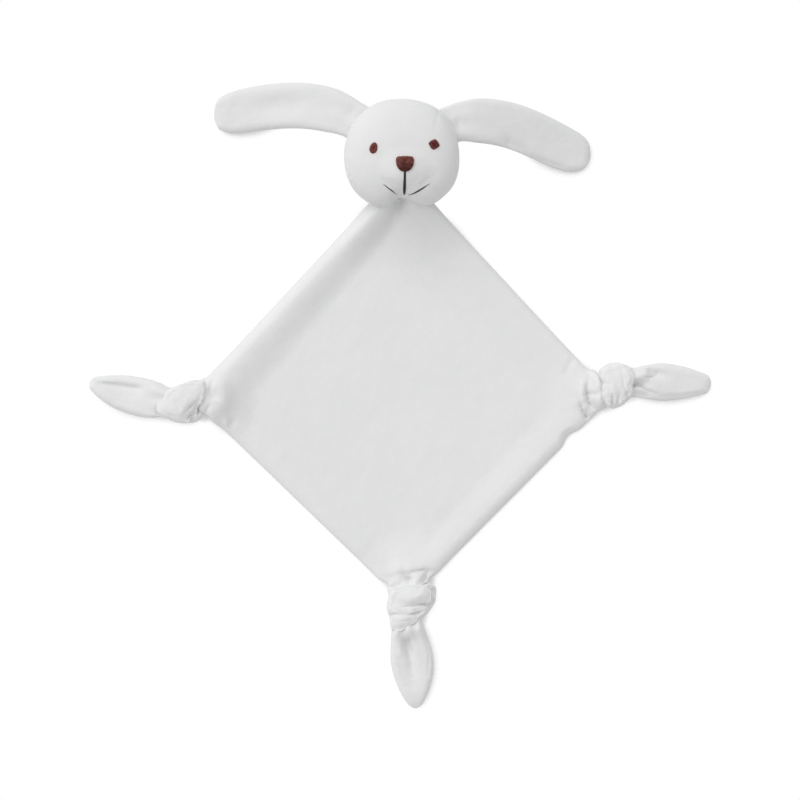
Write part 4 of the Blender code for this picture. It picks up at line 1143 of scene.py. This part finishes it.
def makeKnot(name, corner, seed):
    outward = heading(corner["knotAngle"])
    sideways = up.cross(outward)
    centre = corner["hinge"] + outward * corner["centre"] + up * knot["centreRise"]
    bm = knotStrand(corner, centre, outward, sideways, seed)
    # cloth packed inside the wraps
    long, wide, high = corner["core"]
    for vert in bmesh.ops.create_uvsphere(bm, u_segments=48, v_segments=24, radius=1)["verts"]:
        x, y, z = vert.co
        x += corner["coreSlant"] * y
        vert.co = centre + outward * x * long + sideways * y * wide + up * z * high
    piece = newPiece(bm, name, blanketVelour)
    remesh = piece.modifiers.new("fuse", "REMESH")
    remesh.mode = "VOXEL"
    remesh.voxel_size = knot["voxel"]
    soften = piece.modifiers.new("soften", "SMOOTH")
    soften.factor = 0.5
    soften.iterations = 4
    applyModifiers(piece)
    drawToOutline(piece, corner["outline"])
    for vert in piece.data.vertices:
        above = vert.co.z - knot["flatFrom"]
        if above > 0:
            vert.co.z -= above * knot["flattening"] * min(above / knot["flatFade"], 1)
    piece.data.update()
    normals = [vert.normal.copy() for vert in piece.data.vertices]
    floorSoft, gap = knot["floorSoft"], blanket["floorGap"]
    upward, fade = knot["creased"]
    for vert, normal in zip(piece.data.vertices, normals):
        facing = ease(upward - normal.z, fade)
        if facing:
            vert.co += normal * foldHeight(vert.co, corner["folds"]) * facing
        vert.co += normal * lumpy(vert.co, knot["lumps"], seed)
        if vert.co.z < gap + floorSoft:
            # flattened where it rests on the floor
            vert.co.z = gap + floorSoft * math.exp(min((vert.co.z - gap - floorSoft) / floorSoft, 0))
    return piece


knotPieces = {}
for i, (side, corner) in enumerate(corners.items()):
    knotPieces[side] = makeKnot(side + "_knot_wrap", corner, 2.0 * i + 1)
print("knots tied")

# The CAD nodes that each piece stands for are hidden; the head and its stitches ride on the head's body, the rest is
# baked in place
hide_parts("blanket_front_panel", "blanket_back_panel", "neck_gather")
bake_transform(blanketPiece)
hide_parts("head_face_panel", "head_back_panel", "head_stuffing")
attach(headPiece, "head")
for patch, node, slotName in stitched:
    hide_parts(node)
    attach(patch, "head")
for side, ear, look in (("left", leftEarPiece, leftEar), ("right", rightEarPiece, rightEar)):
    hinge, outward = look["hinge"], heading(look["headings"][0][1])
    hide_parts(side + "_ear_front", side + "_ear_back")
    side + "_ear"
    hinge - outward * 0.003
    hinge + outward * 0.006
    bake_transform(ear)
for side, corner in corners.items():
    outward = heading(corner["knotAngle"])
    hinge, knotPiece = corner["hinge"], knotPieces[side]
    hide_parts(side + "_knot")
    side + "_knot"
    hinge - outward * 0.006
    hinge + outward * 0.003
    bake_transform(knotPiece)
    hinge, tailPiece = corner["tailHinge"], tailPieces[side]
    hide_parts(side + "_tail")
    side + "_knot"
    side + "_tail"
    hinge - outward * 0.003
    hinge + outward * 0.006
    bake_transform(tailPiece)

# Floor, light and camera
def seenRays(wire):
    # 1 for what the camera sees, directly, in a reflection or through a clear piece
    kinds = ("Is Camera Ray", "Is Glossy Ray", "Is Transmission Ray")
    camera, glossy, clear = (wire.node("ShaderNodeLightPath", {}, {}, kind) for kind in kinds)
    return wire.node("ShaderNodeMath", {"operation": "ADD", "use_clamp": True}, {0: camera + glossy, 1: clear})


paper = {
    "halfSize": 3,
    "grey": (0.92, 0.92, 0.92, 1),  # what lights the toy from below
    "lift": 0.15,             # lightens the shadows
    "shadowReach": 0.0095,    # how near the toy the paper's shadows are seen
    "shadowRange": (0.57, 0.79),
}
white = (1, 1, 1, 1)
floorMaterial = bpy.data.materials.new("floor_paper")
floorMaterial.use_nodes = True
floorTree = floorMaterial.node_tree
floorTree.nodes.clear()
wire = Wire(floorTree)
darkest, lightest = paper["shadowRange"]
nearby = wire.node("ShaderNodeAmbientOcclusion", {"samples": 16}, {"Distance": paper["shadowReach"]}, "AO")
clear = wire.node("ShaderNodeMapRange", {}, {"Value": nearby, "From Min": darkest, "From Max": lightest}, "Result")
lit = wire.node("ShaderNodeBsdfDiffuse", {}, {"Color": white})
lift = wire.node("ShaderNodeEmission", {}, {"Color": white, "Strength": paper["lift"]})
shaded = wire.node("ShaderNodeAddShader", {}, {0: lit, 1: lift})
plain = wire.node("ShaderNodeEmission", {}, {"Color": white, "Strength": 1})
shown = wire.node("ShaderNodeMixShader", {}, {0: clear, 1: shaded, 2: plain})
grey = wire.node("ShaderNodeBsdfDiffuse", {}, {"Color": paper["grey"]})
mixed = wire.node("ShaderNodeMixShader", {}, {0: seenRays(wire), 1: grey, 2: shown})
floorOutput = floorTree.nodes.new("ShaderNodeOutputMaterial")
floorTree.links.new(mixed.socket, floorOutput.inputs["Surface"])
bm = bmesh.new()
bmesh.ops.create_grid(bm, x_segments=1, y_segments=1, size=paper["halfSize"])
floor = newPiece(bm, "floor", floorMaterial)

light = {"sun": 1.42, "sunAngle": 62, "sunSide": (-0.50, 0.52, 0.72), "sky": 0.63}
sunData = bpy.data.lights.new("window", "SUN")
sunData.energy = light["sun"]
sunData.angle = math.radians(light["sunAngle"])
sun = bpy.data.objects.new("window", sunData)
sun.rotation_euler = Vector(light["sunSide"]).to_track_quat("Z", "Y").to_euler()
bpy.context.scene.collection.objects.link(sun)

world = bpy.data.worlds.new("studio")
world.use_nodes = True
background = world.node_tree.nodes["Background"]
background.inputs["Color"].default_value = white
strength = light["sky"] + (1 - light["sky"]) * seenRays(Wire(world.node_tree))
world.node_tree.links.new(strength.socket, background.inputs["Strength"])
bpy.context.scene.world = world

view = {"lens": 100, "sensor": 36, "place": (-0.00064, -0.00218, 1.4222)}
cameraData = bpy.data.cameras.new("camera")
cameraData.lens = view["lens"]
cameraData.sensor_width = view["sensor"]
camera = bpy.data.objects.new("camera", cameraData)
camera.location = view["place"]
bpy.context.scene.collection.objects.link(camera)
bpy.context.scene.camera = camera
bpy.context.scene.view_settings.view_transform = "Standard"
print("stage set")
